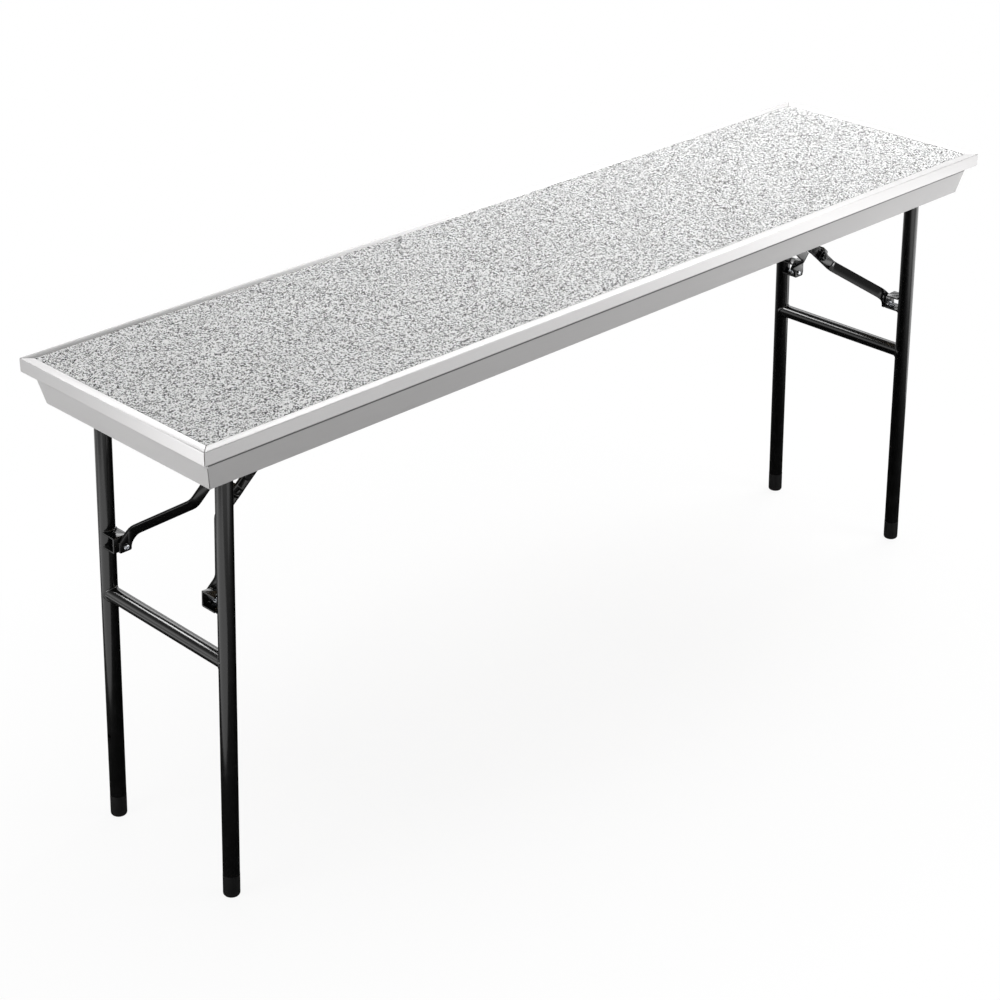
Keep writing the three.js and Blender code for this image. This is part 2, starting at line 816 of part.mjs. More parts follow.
// nearSide and farSide name the long sides at y < 0 and y > 0 of the end as drawn
function buildEnd(endName, nearSide, farSide, turn) {
  const end = new THREE.Group();
  const tag = (text) => `${text}_${endName}`;
  const legY = { [nearSide]: frontLegY, [farSide]: -frontLegY };

  const legs = new THREE.Group();
  for (const [side, y] of Object.entries(legY)) {
    legs.add(legTube(`${tag('leg')}_${side}`, y, side === 'back'));
    legs.add(footCap(`${tag('foot')}_${side}`, y));
    legs.add(legChannel(`${tag('brace_channel')}_${side}`, y));
    legs.add(pivotNut(`${tag('pivot_nut')}_${side}`, Math.sign(y)));
  }
  legs.add(crossbar(tag('crossbar')));
  legs.position.copy(hinge);
  legs.rotation.y = legLean;
  end.add(legs);

  for (const [side, y] of Object.entries(legY)) {
    end.add(braceArm(`${tag('brace_arm')}_${side}`, Math.sign(y)));
    end.add(pivotScrew(`${tag('pivot_screw')}_${side}`, Math.sign(y)));
    const tieName = `${tag('tie_bolt')}_${side}`;
    end.add(y < 0 ? tieRivet(tieName) : tieBoltAndNut(tieName));
    const bracket = cheekBracket(hingePlateReach, legRadius + hingeCheekGap, hingeHeight);
    const mesh = named(`${tag('leg_hinge_bracket')}_${side}`, bracket, zincSteel());
    mesh.position.set(hinge.x, y, hingeHeight);
    end.add(mesh);
  }
  end.add(legHingeRod(tag('leg_hinge_rod')));
  end.add(tieStrap(tag('brace_strap')));
  end.add(kneePin(tag('knee_pin')));
  end.add(upperLink(tag('upper_link')));
  const linkBracket = cheekBracket(linkPlateReach, linkHalfWidth + linkSideGap, hingeHeight);
  const linkBracketMesh = named(tag('link_bracket'), linkBracket, zincSteel());
  linkBracketMesh.position.set(linkHinge.x, 0, hingeHeight);
  end.add(linkBracketMesh);
  end.add(linkHingePin(tag('link_hinge_pin')));

  end.rotation.z = turn;
  return end;
}

const riser = new THREE.Group();
riser.name = 'choir_riser';
riser.add(deckBoard());
riser.add(deckCarpet());
for (const side of sides) {
  riser.add(trimRail(side));
  riser.add(skirtRail(side));
}
riser.add(buildEnd('left', 'front', 'back', 0));
riser.add(buildEnd('right', 'back', 'front', Math.PI));

export default riser;
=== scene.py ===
"""The looks of a folding choir riser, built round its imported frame.

Metres, +Z up. The origin is on the floor under the middle of the deck, +X runs along the deck
and -Y is the long front side. Every finished piece has its place in its own mesh.
"""

import json
import math

import bmesh
import bpy
from mathutils import Matrix, Vector

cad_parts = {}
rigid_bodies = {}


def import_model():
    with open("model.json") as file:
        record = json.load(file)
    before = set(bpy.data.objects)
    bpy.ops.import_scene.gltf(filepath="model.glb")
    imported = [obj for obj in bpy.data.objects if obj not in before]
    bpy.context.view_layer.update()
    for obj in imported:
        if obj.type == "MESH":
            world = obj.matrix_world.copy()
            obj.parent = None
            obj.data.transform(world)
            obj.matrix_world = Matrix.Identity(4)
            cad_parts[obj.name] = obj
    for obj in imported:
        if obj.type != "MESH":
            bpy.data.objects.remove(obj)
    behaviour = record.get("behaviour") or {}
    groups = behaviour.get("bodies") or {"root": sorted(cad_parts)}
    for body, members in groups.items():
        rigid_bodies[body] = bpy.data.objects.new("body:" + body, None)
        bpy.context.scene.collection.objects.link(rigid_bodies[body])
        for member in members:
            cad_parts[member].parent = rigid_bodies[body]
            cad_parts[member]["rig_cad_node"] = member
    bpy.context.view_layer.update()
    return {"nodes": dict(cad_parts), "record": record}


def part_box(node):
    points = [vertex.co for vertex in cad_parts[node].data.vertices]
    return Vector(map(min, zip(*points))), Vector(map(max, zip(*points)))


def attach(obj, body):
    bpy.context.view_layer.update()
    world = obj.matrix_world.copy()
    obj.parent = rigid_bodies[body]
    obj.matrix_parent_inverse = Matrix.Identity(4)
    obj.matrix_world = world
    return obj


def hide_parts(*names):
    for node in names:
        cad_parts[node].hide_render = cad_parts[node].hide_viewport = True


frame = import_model()

bl_info = {
    "name": "Choir Riser",
    "version": (1, 0, 0),
    "blender": (4, 5, 0),
    "location": "View3D > Sidebar > Riser",
    "description": "Models and finishes the pieces of a folding choir riser",
    "category": "Object",
}

ENDS = ("left", "right")
SIDES = ("front", "back")
CORNERS = [(end, side) for end in ENDS for side in SIDES]
# Each edge of the deck, with the turn that brings the front one to it
EDGES = (("front", 0), ("right", 90), ("back", 180), ("left", -90))
BODY_OF = {node: body for body, nodes in frame["record"]["behaviour"]["bodies"].items() for node in nodes}
SLOT_OF = {row["node"]: row["material_slot"] for row in frame["record"]["subparts"]}
# Points closer than the tolerance count as one; the clearance stays between pieces that would touch
TOLERANCE = 0.00005
CLEARANCE = 0.0001
# A face looks along an axis if its normal reaches this far along it
FACING = 0.9
# A rail's long edges are longer than this, and the edges of its ends are shorter
SHORTEST_RAIL = 0.1
# Wood screws in a long and a short side of the skirt, and the degrees that each one is turned past the last
LONG_SIDE_SCREWS = 5
SHORT_SIDE_SCREWS = 2
SCREW_TURN = 37


# Sizes and colours that a user would change

def linear(hex_colour):
    """The linear RGBA of an sRGB hex colour."""
    channels = [int(hex_colour[i:i + 2], 16) / 255 for i in (1, 3, 5)]
    return [c / 12.92 if c <= 0.04045 else ((c + 0.055) / 1.055) ** 2.4 for c in channels] + [1.0]


def millimetres(name, description, value):
    """A length property with its default in millimetres."""
    return bpy.props.FloatProperty(
        name=name, description=description, default=value / 1000, min=0, unit="LENGTH", precision=5)


def colour(name, description, value):
    """A colour property with its default as an sRGB hex value."""
    return bpy.props.FloatVectorProperty(
        name=name, description=description, default=linear(value), size=4, min=0, max=1, subtype="COLOR")


class RiserSizes(bpy.types.PropertyGroup):
    """Sizes that can't be read from the boxes of the frame's nodes."""

    trim_wall: millimetres("Trim wall", "Thickness of the trim's upper and lower lip", 2)
    trim_web: millimetres("Trim web", "Thickness of the trim's upright wall", 2.5)
    trim_top_radius: millimetres("Trim top radius", "Rounding along the trim's upper outer edge", 1)
    trim_bottom_radius: millimetres("Trim bottom radius", "Rounding along the trim's lower outer edge", 1.6)
    skirt_sheet: millimetres("Skirt sheet", "Thickness of the skirt's sheet metal", 2)
    skirt_lean: millimetres("Skirt lean", "How far the skirt's lower edge stands inside its upper edge", 10.7)
    skirt_lip: millimetres("Skirt lip", "Width of the skirt's lower flange", 12)
    skirt_bend: millimetres("Skirt bend", "Outer radius of the skirt's bends", 2)
    # Painted shade under the trim of the skirt's long sides: the height over which it sets in
    painted_shade_fade: millimetres("Painted shade fade", "Height over which the grime under the trim sets in", 1.5)
    board_edge: millimetres("Board edge", "Rounding on the edges of the deck board", 0.8)
    carpet_grid: millimetres("Carpet grid", "Spacing of the carpet's modelled pile", 3.2)
    carpet_tuft: millimetres("Carpet tuft", "Size of a clump of fibres", 5)
    carpet_rise: millimetres("Carpet rise", "How far the pile's clumps rise and fall", 0.9)
    carpet_fleck: millimetres("Carpet fleck", "Size of a pale or dark tuft of fibres", 1.95)
    tube_wall: millimetres("Tube wall", "Wall of the leg tubes", 2)
    leg_hole: millimetres("Leg hole", "Radius of the hole low in each back leg", 4)
    leg_hole_height: millimetres("Leg hole height", "Height of that hole above the floor", 153)
    foot_radius: millimetres("Foot radius", "Radius of a foot cap", 13.7)
    foot_rounding: millimetres("Foot rounding", "Rounding round a foot cap's tip", 5)
    weld_bead: millimetres("Weld bead", "Radius of a weld bead", 1.9)
    weld_ripple: millimetres("Weld ripple", "Distance from ripple to ripple along a weld bead", 2.2)
    pressed_edge: millimetres("Pressed edge", "Rounding on the edges of bent bars and pressings", 0.7)
    pin_radius: millimetres("Pin radius", "Radius of the hinge pins and rods", 5)
    pin_head: millimetres("Pin head", "Thickness of a hinge pin's head", 3)
    knee_head: millimetres("Knee pin head", "Thickness of a knee pin's head", 1.5)
    pin_chamfer: millimetres("Pin chamfer", "How much smaller a pin's head is at its face", 1.5)
    pivot_radius: millimetres("Pivot radius", "Radius of the pivot screws", 3)
    pivot_head: millimetres("Pivot head", "Height of a pivot screw's head", 2.7)
    pivot_nut: millimetres("Pivot nut", "Height of a pivot screw's nut", 5)
    tie_radius: millimetres("Tie bolt radius", "Radius of the tie bolts", 4)
    tie_nut: millimetres("Tie nut", "Height of a tie bolt's nut", 6.5)
    tie_tail: millimetres("Tie bolt tail", "How far a tie bolt stands out of its nut", 2.5)
    tie_head: millimetres("Tie bolt head", "Radius of a tie bolt's sunk head", 7)
    tie_cone: millimetres("Tie bolt cone", "Depth of a tie bolt's sunk head", 2.5)
    rivet_rounding: millimetres("Rivet rounding", "Rounding of a tie rivet's outer end", 0.6)
    thread_pitch: millimetres("Thread pitch", "Distance from ridge to ridge of the screw threads", 1)
    screw_head: millimetres("Screw head", "Radius of a wood screw's head", 4.4)
    screw_inset: millimetres("Screw inset", "Distance of the wood screws from the edges of what they hold", 7)
    plate: millimetres("Bracket plate", "Thickness of the hinge brackets' plates", 2.6)
    channel_sheet: millimetres("Channel sheet", "Thickness of the brace channels' sheet", 2.5)
    mitre_gap: millimetres("Mitre gap", "How far each mitre stays short of the corner's middle", 0.45)
    mitre_edge: millimetres("Mitre edge", "Rounding on the sawn edges of each mitre", 0.4)


class RiserColours(bpy.types.PropertyGroup):
    """Colours of the riser's finishes."""

    trim: colour("Trim", "Anodised aluminium of the trim", "#c0bfbf")
    skirt: colour("Skirt", "Grey coating of the skirt", "#b0afaf")
    carpet_dark: colour("Carpet dark", "Darkest fibres of the carpet", "#101113")
    carpet_light: colour("Carpet light", "Lightest fibres of the carpet", "#fafafa")
    enamel: colour("Enamel", "Black enamel of the leg frames and braces", "#070707")
    enamel_dust: colour("Enamel dust", "Thin dust on the enamel", "#161617")
    zinc: colour("Zinc", "Zinc plating of the hardware", "#c3c6ca")
    rubber: colour("Rubber", "Rubber of the foot caps", "#0b0b0b")
    scuff: colour("Scuff", "Rubber where it scuffs on the floor", "#242322")
    veneer_light: colour("Veneer light", "Pale wood of the board", "#b9a88c")
    veneer_dark: colour("Veneer dark", "Dark grain of the board", "#94826a")
    floor: colour("Floor", "Pale studio floor", "#f0f0f0")


# Selection and modelling helpers

def only(piece):
    """Selects one object and makes it active."""
    bpy.ops.object.select_all(action="DESELECT")
    piece.select_set(True)
    bpy.context.view_layer.objects.active = piece


def open_mesh(piece):
    """Starts editing a piece's mesh."""
    only(piece)
    bpy.ops.object.mode_set(mode="EDIT")


def close_mesh():
    """Ends editing."""
    bpy.ops.object.mode_set(mode="OBJECT")


def middle(item):
    """Middle of a face's or an edge's corners."""
    return sum((corner.co for corner in item.verts), Vector()) / len(item.verts)


def along_y(distance):
    """A step along Y."""
    return Vector((0, distance, 0))


def pick(kind, test):
    """Selects the faces, edges or vertices of the edited mesh that pass the test, and nothing else."""
    bpy.ops.mesh.select_mode(type=kind)
    bpy.ops.mesh.select_all(action="DESELECT")
    mesh = bpy.context.edit_object.data
    shape = bmesh.from_edit_mesh(mesh)
    items = {"FACE": shape.faces, "EDGE": shape.edges, "VERT": shape.verts}[kind]
    for item in items:
        if test(item):
            item.select_set(True)
    bmesh.update_edit_mesh(mesh)


def cut(point, normal, **options):
    """Cuts the whole edited mesh with a plane."""
    bpy.ops.mesh.select_mode(type="FACE")
    bpy.ops.mesh.select_all(action="SELECT")
    bpy.ops.mesh.bisect(plane_co=point, plane_no=normal, threshold=1e-6, **options)


def extrude(step):
    """Draws the selected faces out by a step."""
    bpy.ops.mesh.extrude_region_move(TRANSFORM_OT_translate={"value": step})


def round_edges(test, radius, segments):
    """Rounds the edges of the edited mesh that pass the test."""
    pick("EDGE", test)
    bpy.ops.mesh.bevel(offset=radius, offset_type="OFFSET", segments=segments, profile=0.5,
                       affect="EDGES", clamp_overlap=True)


def into_mesh(name):
    """Names the new primitive and moves its place into its mesh."""
    piece = bpy.context.object
    piece.name = name
    piece.data.name = name
    bpy.ops.object.transform_apply(location=True, rotation=True, scale=True)
    return piece


def add_box(name, low, high):
    """A box between two corners."""
    low, high = Vector(low), Vector(high)
    bpy.ops.object.select_all(action="DESELECT")
    bpy.ops.mesh.primitive_cube_add(size=1, location=(low + high) / 2, scale=high - low)
    return into_mesh(name)


def add_rod(name, start, end, radius, sides=48, ends="NGON"):
    """A cylinder from one point to another."""
    along = Vector(end) - Vector(start)
    bpy.ops.object.select_all(action="DESELECT")
    bpy.ops.mesh.primitive_cylinder_add(
        vertices=sides, radius=radius, depth=along.length, end_fill_type=ends,
        location=(Vector(start) + Vector(end)) / 2, rotation=along.to_track_quat("Z", "Y").to_euler())
    return into_mesh(name)


def apply_modifier(piece, kind, **settings):
    """Adds one modifier, sets it and applies it."""
    only(piece)
    modifier = piece.modifiers.new(kind.lower(), kind)
    for key, value in settings.items():
        setattr(modifier, key, value)
    bpy.ops.object.modifier_apply(modifier=modifier.name)


def carve(piece, cutter):
    """Takes the cutter's shape out of the piece."""
    apply_modifier(piece, "BOOLEAN", operation="DIFFERENCE", solver="EXACT", object=cutter)
    bpy.data.objects.remove(cutter)


def copy_of(piece, name):
    """A copy with its own mesh."""
    only(piece)
    bpy.ops.object.duplicate(linked=False)
    copy = bpy.context.object
    copy.name = name
    copy.data.name = name
    return copy


def joined(pieces):
    """Joins pieces into the first one, with outward faces."""
    bpy.ops.object.select_all(action="DESELECT")
    for piece in pieces:
        piece.select_set(True)
    bpy.context.view_layer.objects.active = pieces[0]
    bpy.ops.object.join()
    piece = bpy.context.object
    open_mesh(piece)
    bpy.ops.mesh.select_all(action="SELECT")
    bpy.ops.mesh.normals_make_consistent(inside=False)
    close_mesh()
    return piece


def turn(piece, degrees):
    """Turns a piece round the vertical line through the middle of the deck."""
    only(piece)
    piece.rotation_euler.z = math.radians(degrees)
    bpy.ops.object.transform_apply(rotation=True)


def finish_piece(piece, body, slot, stands_for=(), smooth=35, material=None):
    """Gives a piece its shading, its material and its body, and hides the nodes that it stands for."""
    only(piece)
    bpy.ops.object.shade_smooth_by_angle(angle=math.radians(smooth))
    piece.data.materials.clear()
    piece.data.materials.append(material or finish_of(slot))
    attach(piece, body)
    if stands_for:
        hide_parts(*stands_for)


def finish_for(piece, node, **options):
    """Finishes a piece that stands for one node of the frame."""
    finish_piece(piece, BODY_OF[node], SLOT_OF[node], [node], **options)


def refined(node, radius):
    """A copy of a node with its triangles merged into whole faces and its sharp edges rounded."""
    only(frame["nodes"][node])
    bpy.ops.object.duplicate(linked=False)
    piece = bpy.context.object
    bpy.ops.object.parent_clear(type="CLEAR_KEEP_TRANSFORM")
    piece.name = node + "_finished"
    piece.data.name = piece.name
    del piece["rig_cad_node"]
    open_mesh(piece)
    bpy.ops.mesh.select_all(action="SELECT")
    bpy.ops.mesh.remove_doubles(threshold=1e-5)
    bpy.ops.mesh.dissolve_limited(angle_limit=math.radians(1))
    bpy.ops.mesh.select_mode(type="EDGE")
    bpy.ops.mesh.select_all(action="DESELECT")
    bpy.ops.mesh.edges_select_sharp(sharpness=math.radians(40))
    bpy.ops.mesh.bevel(offset=radius, segments=2, profile=0.5, affect="EDGES", clamp_overlap=True)
    close_mesh()
    return piece


def finish_pressings(nodes):
    """Rounds and finishes bent bars and pressings."""
    edge = bpy.context.scene.riser_sizes.pressed_edge
    for node in nodes:
        finish_for(refined(node, edge), node)


def tube_line(node):
    """Foot, head and radius of a leg tube, worked out from the box of a cylinder that leans along X."""
    low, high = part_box(node)
    radius = (high.y - low.y) / 2
    lean = 0.0
    for _ in range(4):
        across = high.x - low.x - 2 * radius * math.cos(lean)
        rise = high.z - low.z - 2 * radius * math.sin(lean)
        lean = math.atan2(across, rise)
    centre = (low + high) / 2
    inward = -math.copysign(across / 2, centre.x)
    half = Vector((inward, 0, rise / 2))
    return centre - half, centre + half, radius


# Materials

def new_material(name):
    """An empty material, its node tree and the output that tells where each point of a piece lies."""
    material = bpy.data.materials.new(name)
    material.use_nodes = True
    tree = material.node_tree
    return material, tree, add_node(tree, "ShaderNodeTexCoord").outputs["Object"]


def add_node(tree, kind, values=None):
    """Adds a node, sets its options and sockets by name or number, and links those given as outputs."""
    node = tree.nodes.new(kind)
    for key, value in (values or {}).items():
        if isinstance(value, bpy.types.NodeSocket):
            tree.links.new(value, node.inputs[key])
        elif isinstance(key, str) and hasattr(node, key):
            setattr(node, key, value)
        else:
            node.inputs[key].default_value = value
    return node


def add_math(tree, operation, *values):
    """Output of a maths node, worked out from numbers and other outputs."""
    return add_node(tree, "ShaderNodeMath", {"operation": operation, **dict(enumerate(values))}).outputs[0]


def add_noise(tree, place, size, detail, roughness=0.5):
    """Output of a noise whose lumps are about as large as size."""
    return add_node(tree, "ShaderNodeTexNoise", {
        "Vector": place, "Scale": 1 / size, "Detail": detail, "Roughness": roughness}).outputs[0]


def add_range(tree, value, low=0.0, high=1.0, start=0.0, end=1.0):
    """Output that goes from low to high while the value goes from start to end, and is level beyond."""
    return add_node(tree, "ShaderNodeMapRange", {
        "Value": value, "From Min": start, "From Max": end, "To Min": low, "To Max": high}).outputs[0]


def add_stretch(tree, place, scale):
    """Output of a place scaled along each axis."""
    return add_node(tree, "ShaderNodeMapping", {"Vector": place, "Scale": scale}).outputs[0]


def add_mix(tree, share, first, second):
    """Output between two colours."""
    return add_node(tree, "ShaderNodeMix", {"data_type": "RGBA", 0: share, 6: first, 7: second}).outputs[2]


def add_tint(tree, colour, factor):
    """Output of a colour made paler or darker by a factor."""
    return add_node(tree, "ShaderNodeVectorMath", {
        "operation": "SCALE", 0: colour, "Scale": factor}).outputs[0]


def add_bump(tree, height, strength, distance):
    """Output that tilts the surface along the slopes of a height."""
    return add_node(tree, "ShaderNodeBump", {
        "Height": height, "Strength": strength, "Distance": distance}).outputs[0]


def axis_part(tree, vector, axis):
    """Output of one part of a vector."""
    return add_node(tree, "ShaderNodeSeparateXYZ", {0: vector}).outputs[axis]


def set_shader(material, **values):
    """Sets sockets of the material's own shader, links those given as outputs, and returns the material."""
    tree = material.node_tree
    for key, value in values.items():
        socket = tree.nodes["Principled BSDF"].inputs[key.replace("_", " ")]
        if isinstance(value, bpy.types.NodeSocket):
            tree.links.new(value, socket)
        else:
            socket.default_value = value
    return material


def carpet_pile(colours):
    """Needle-punched polyester carpet, heather grey: pale and dark tufts lie side by side, which
    gives the eye a dense, crisp salt-and-pepper fleck with no gloss."""
    material, tree, place = new_material("needle_punched_carpet")
    fleck_size = bpy.context.scene.riser_sizes.carpet_fleck
    # Threads pull the edges of the flecks about, so that no cell shows a clean outline
    pull = add_node(tree, "ShaderNodeTexNoise", {"Vector": place, "Scale": 0.7 / fleck_size, "Detail": 2})
    frayed = add_node(tree, "ShaderNodeVectorMath", {
        "operation": "MULTIPLY_ADD", 0: pull.outputs["Color"], 1: [fleck_size] * 3, 2: place}).outputs[0]
    fleck = add_node(tree, "ShaderNodeTexVoronoi", {"Vector": frayed, "Scale": 1 / fleck_size})
    level = add_node(tree, "ShaderNodeSeparateColor", {0: fleck.outputs["Color"]}).outputs[0]
    thread = add_noise(tree, place, size=fleck_size / 2, detail=2, roughness=0.7)
    tuft = add_math(tree, "MULTIPLY_ADD", level, 1.6, thread)
    # The narrow range leaves hardly a grey between the pale tufts and the dark ones
    paleness = add_range(tree, tuft, start=0.99, end=1.04)
    base = add_mix(tree, paleness, colours.carpet_dark, colours.carpet_light)
    # Traffic lays the pile over in soft patches a hand wide
    patch = add_noise(tree, place, size=0.12, detail=2)
    worn = add_tint(tree, base, add_range(tree, patch, low=0.95, high=1.05))
    return set_shader(material, Base_Color=worn, Normal=add_bump(tree, tuft, strength=0.6, distance=0.0006),
                      Roughness=1.0, IOR=1.45, Specular_IOR_Level=0.2, Sheen_Weight=0.1, Sheen_Roughness=0.6)


def anodised_aluminium(name, colours, along):
    """Satin anodised aluminium extrusion: fine die lines run along the rail and blur what it reflects."""
    material, tree, place = new_material(name)
    # Die lines 0.4 mm apart and 60 mm long
    line_scale = [1 / 0.06 if axis == along else 1 / 0.0004 for axis in range(3)]
    lines = add_noise(tree, add_stretch(tree, place, line_scale), size=1, detail=2)
    cloud = add_noise(tree, place, size=0.15, detail=3)
    tone = add_range(tree, lines, low=0.96, high=1.03)
    return set_shader(material, Metallic=1.0,
                      Base_Color=add_tint(tree, colours.trim[:3], tone),
                      Roughness=add_range(tree, cloud, low=0.40, high=0.50),
                      Normal=add_bump(tree, lines, strength=0.12, distance=0.00005))


def coated_sheet(colours):
    """Powder-coated steel sheet, light grey: a smooth satin skin with a faint orange peel, and a dark line
    of painted shade in the corner under the trim of the long sides."""
    material, tree, place = new_material("powder_coated_sheet")
    peel = add_noise(tree, place, size=0.0016, detail=1)
    cloud = add_noise(tree, place, size=0.2, detail=3)
    tone = add_range(tree, cloud, low=0.97, high=1.03)
    # The painted shade line lies at the height down to which the trim hides the skirt from an eye above it
    sight_slope = 0.6
    skirt_low, skirt_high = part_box("skirt_front")
    line_top = skirt_high.z - sight_slope * (skirt_low.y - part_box("trim_front")[0].y)
    fade = bpy.context.scene.riser_sizes.painted_shade_fade
    height = axis_part(tree, place, "Z")
    # Painted shade: the skirt darkens over the fade just below that line and stays dark up to the trim, on
    # the long sides only
    painted_shade = add_range(tree, height, high=0.8, start=line_top - 2 * fade, end=line_top - fade)
    normal = add_node(tree, "ShaderNodeNewGeometry").outputs["True Normal"]
    long_side = add_math(tree, "ABSOLUTE", axis_part(tree, normal, "Y"))
    unshaded = add_math(tree, "SUBTRACT", 1.0, add_math(tree, "MULTIPLY", painted_shade, long_side))
    paleness = add_math(tree, "MULTIPLY", tone, unshaded)
    return set_shader(material, IOR=1.5,
                      Base_Color=add_tint(tree, colours.skirt[:3], paleness),
                      Roughness=add_range(tree, peel, low=0.48, high=0.60),
                      Normal=add_bump(tree, peel, strength=0.10, distance=0.0001))


def black_enamel(colours):
    """Semi-gloss black enamel sprayed on steel: near black, with blurred streaks of light and some dust."""
    material, tree, place = new_material("semi_gloss_black_enamel")
    peel = add_noise(tree, place, size=0.0025, detail=2)
    dust = add_noise(tree, place, size=0.02, detail=6, roughness=0.7)
    dusty = add_range(tree, dust, high=0.5, start=0.5, end=0.8)
    return set_shader(material, IOR=1.5,
                      Base_Color=add_mix(tree, dusty, colours.enamel, colours.enamel_dust),
                      Roughness=add_range(tree, dust, low=0.10, high=0.20),
                      Normal=add_bump(tree, peel, strength=0.02, distance=0.0002))


def zinc_plate(colours):
    """Zinc-plated steel: bright bluish grey metal with a soft mottle of crystals."""
    material, tree, place = new_material("zinc_plated_steel")
    mottle = add_node(tree, "ShaderNodeTexVoronoi", {"Vector": place, "Scale": 1 / 0.003}).outputs[0]
    smear = add_noise(tree, place, size=0.008, detail=4)
    tone = add_range(tree, mottle, low=1.0, high=0.82)
    return set_shader(material, Metallic=1.0,
                      Base_Color=add_tint(tree, colours.zinc[:3], tone),
                      Roughness=add_range(tree, smear, low=0.25, high=0.45),
                      Normal=add_bump(tree, smear, strength=0.1, distance=0.0001))


def moulded_rubber(colours):
    """Moulded black rubber: dull, a little paler where it scuffs on the floor."""
    material, tree, place = new_material("moulded_black_rubber")
    grain = add_noise(tree, place, size=0.0015, detail=3)
    near_floor = add_range(tree, axis_part(tree, place, "Z"), high=0.6, start=0.012, end=0.0)
    scuffed = add_math(tree, "MULTIPLY", near_floor, grain)
    return set_shader(material, IOR=1.52,
                      Base_Color=add_mix(tree, scuffed, colours.rubber, colours.scuff),
                      Roughness=add_range(tree, grain, low=0.38, high=0.52),
                      Normal=add_bump(tree, grain, strength=0.2, distance=0.0002))


def birch_plywood(colours):
    """Sanded birch plywood, unfinished: long pale grain on the faces, and thin plies along the cut edges."""
    material, tree, place = new_material("sanded_birch_plywood")
    # Grain lines 4 mm wide run along the board for a hand's length, in plies 1.6 mm thick
    stretched = add_stretch(tree, place, (1 / 0.15, 1 / 0.004, 1 / 0.0016))
    grain = add_noise(tree, stretched, size=1, detail=5, roughness=0.6)
    sweep = add_noise(tree, place, size=0.3, detail=2)
    darkness = add_range(tree, add_math(tree, "MULTIPLY_ADD", sweep, 0.6, grain), start=0.55, end=1.05)
    return set_shader(material, IOR=1.5,
                      Base_Color=add_mix(tree, darkness, colours.veneer_light, colours.veneer_dark),
                      Roughness=add_range(tree, grain, low=0.62, high=0.78),
                      Normal=add_bump(tree, grain, strength=0.15, distance=0.0002))


def finish_of(slot):
    """The material of one of the record's slots, made once."""
    colours = bpy.context.scene.riser_colours
    makers = {
        "black_paint": black_enamel,
        "zinc": zinc_plate,
        "rubber": moulded_rubber,
        "plywood": birch_plywood,
        "carpet": carpet_pile,
        "skirt": coated_sheet,
    }
    if slot not in finish_of.made:
        finish_of.made[slot] = makers[slot](colours)
    return finish_of.made[slot]


finish_of.made = {}


# Deck

def drawn_box(node, degrees):
    """Box of an edge rail after it is turned back to the front side."""
    back = Matrix.Rotation(-math.radians(degrees), 3, "Z")
    first, second = (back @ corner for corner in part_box(node))
    low = Vector(map(min, first, second))
    high = Vector(map(max, first, second))
    return low, high


def is_long_edge(edge, y, z):
    """True for an edge that runs along a rail, along X at that y and z."""
    first, second = (corner.co for corner in edge.verts)
    centre = middle(edge)
    long_enough = abs(first.x - second.x) > SHORTEST_RAIL
    return long_enough and abs(centre.y - y) < TOLERANCE and abs(centre.z - z) < TOLERANCE


def drawn_section(name, low, high, wall, web):
    """A long C section, open towards the deck's middle and left too long at both ends."""
    depth = high.y - low.y
    piece = add_box(name, low - Vector((depth, 0, 0)), high + Vector((depth, 0, 0)))
    open_mesh(piece)
    cut((0, 0, high.z - wall), (0, 0, 1))
    cut((0, 0, low.z + wall), (0, 0, 1))
    pick("FACE", lambda face: face.normal.y > FACING and low.z + wall < middle(face).z < high.z - wall)
    extrude((0, web - depth, 0))
    return piece


def cut_mitres(low, high):
    """Cuts both ends of a rail at 45 degrees, just short of its outer corners, and breaks the cut edges."""
    sizes = bpy.context.scene.riser_sizes
    for side, x in ((-1, low.x), (1, high.x)):
        corner = Vector((x - side * sizes.mitre_gap, low.y, 0))
        facing = Vector((side, 1, 0)).normalized()
        cut(corner, facing, clear_outer=True, use_fill=True)
        round_edges(lambda edge: all(abs((end.co - corner).dot(facing)) < TOLERANCE for end in edge.verts),
                    sizes.mitre_edge, 2)


def make_trim(node, degrees):
    """One side of the aluminium edge trim."""
    sizes = bpy.context.scene.riser_sizes
    low, high = drawn_box(node, degrees)
    piece = drawn_section(node + "_finished", low, high, sizes.trim_wall, sizes.trim_web)
    round_edges(lambda edge: is_long_edge(edge, low.y, high.z), sizes.trim_top_radius, 4)
    round_edges(lambda edge: is_long_edge(edge, low.y, low.z), sizes.trim_bottom_radius, 6)
    round_edges(lambda edge: is_long_edge(edge, high.y, high.z), sizes.trim_wall / 4, 2)
    cut_mitres(low, high)
    close_mesh()
    turn(piece, degrees)
    return piece


def make_skirt(node, degrees):
    """One side of the sheet skirt: a C section whose lower edge stands further in."""
    sizes = bpy.context.scene.riser_sizes
    sheet, lean = sizes.skirt_sheet, sizes.skirt_lean
    low, high = drawn_box(node, degrees)
    piece = drawn_section(node + "_finished", low, high, sheet, sheet)
    lip_slack = high.y - low.y - lean - sizes.skirt_lip
    pick("FACE", lambda face: face.normal.y > FACING and middle(face).z < low.z + sheet)
    bpy.ops.transform.translate(value=(0, -lip_slack, 0))
    bend_y, bend_z = low.y + sheet + TOLERANCE, low.z + sheet + TOLERANCE
    pick("VERT", lambda corner: corner.co.y < bend_y and corner.co.z < bend_z)
    bpy.ops.transform.translate(value=(0, lean, 0))
    round_edges(lambda edge: is_long_edge(edge, low.y, high.z), sizes.skirt_bend, 4)
    round_edges(lambda edge: is_long_edge(edge, low.y + lean, low.z), sizes.skirt_bend, 4)
    cut_mitres(low, high)
    close_mesh()
    turn(piece, degrees)
    return piece


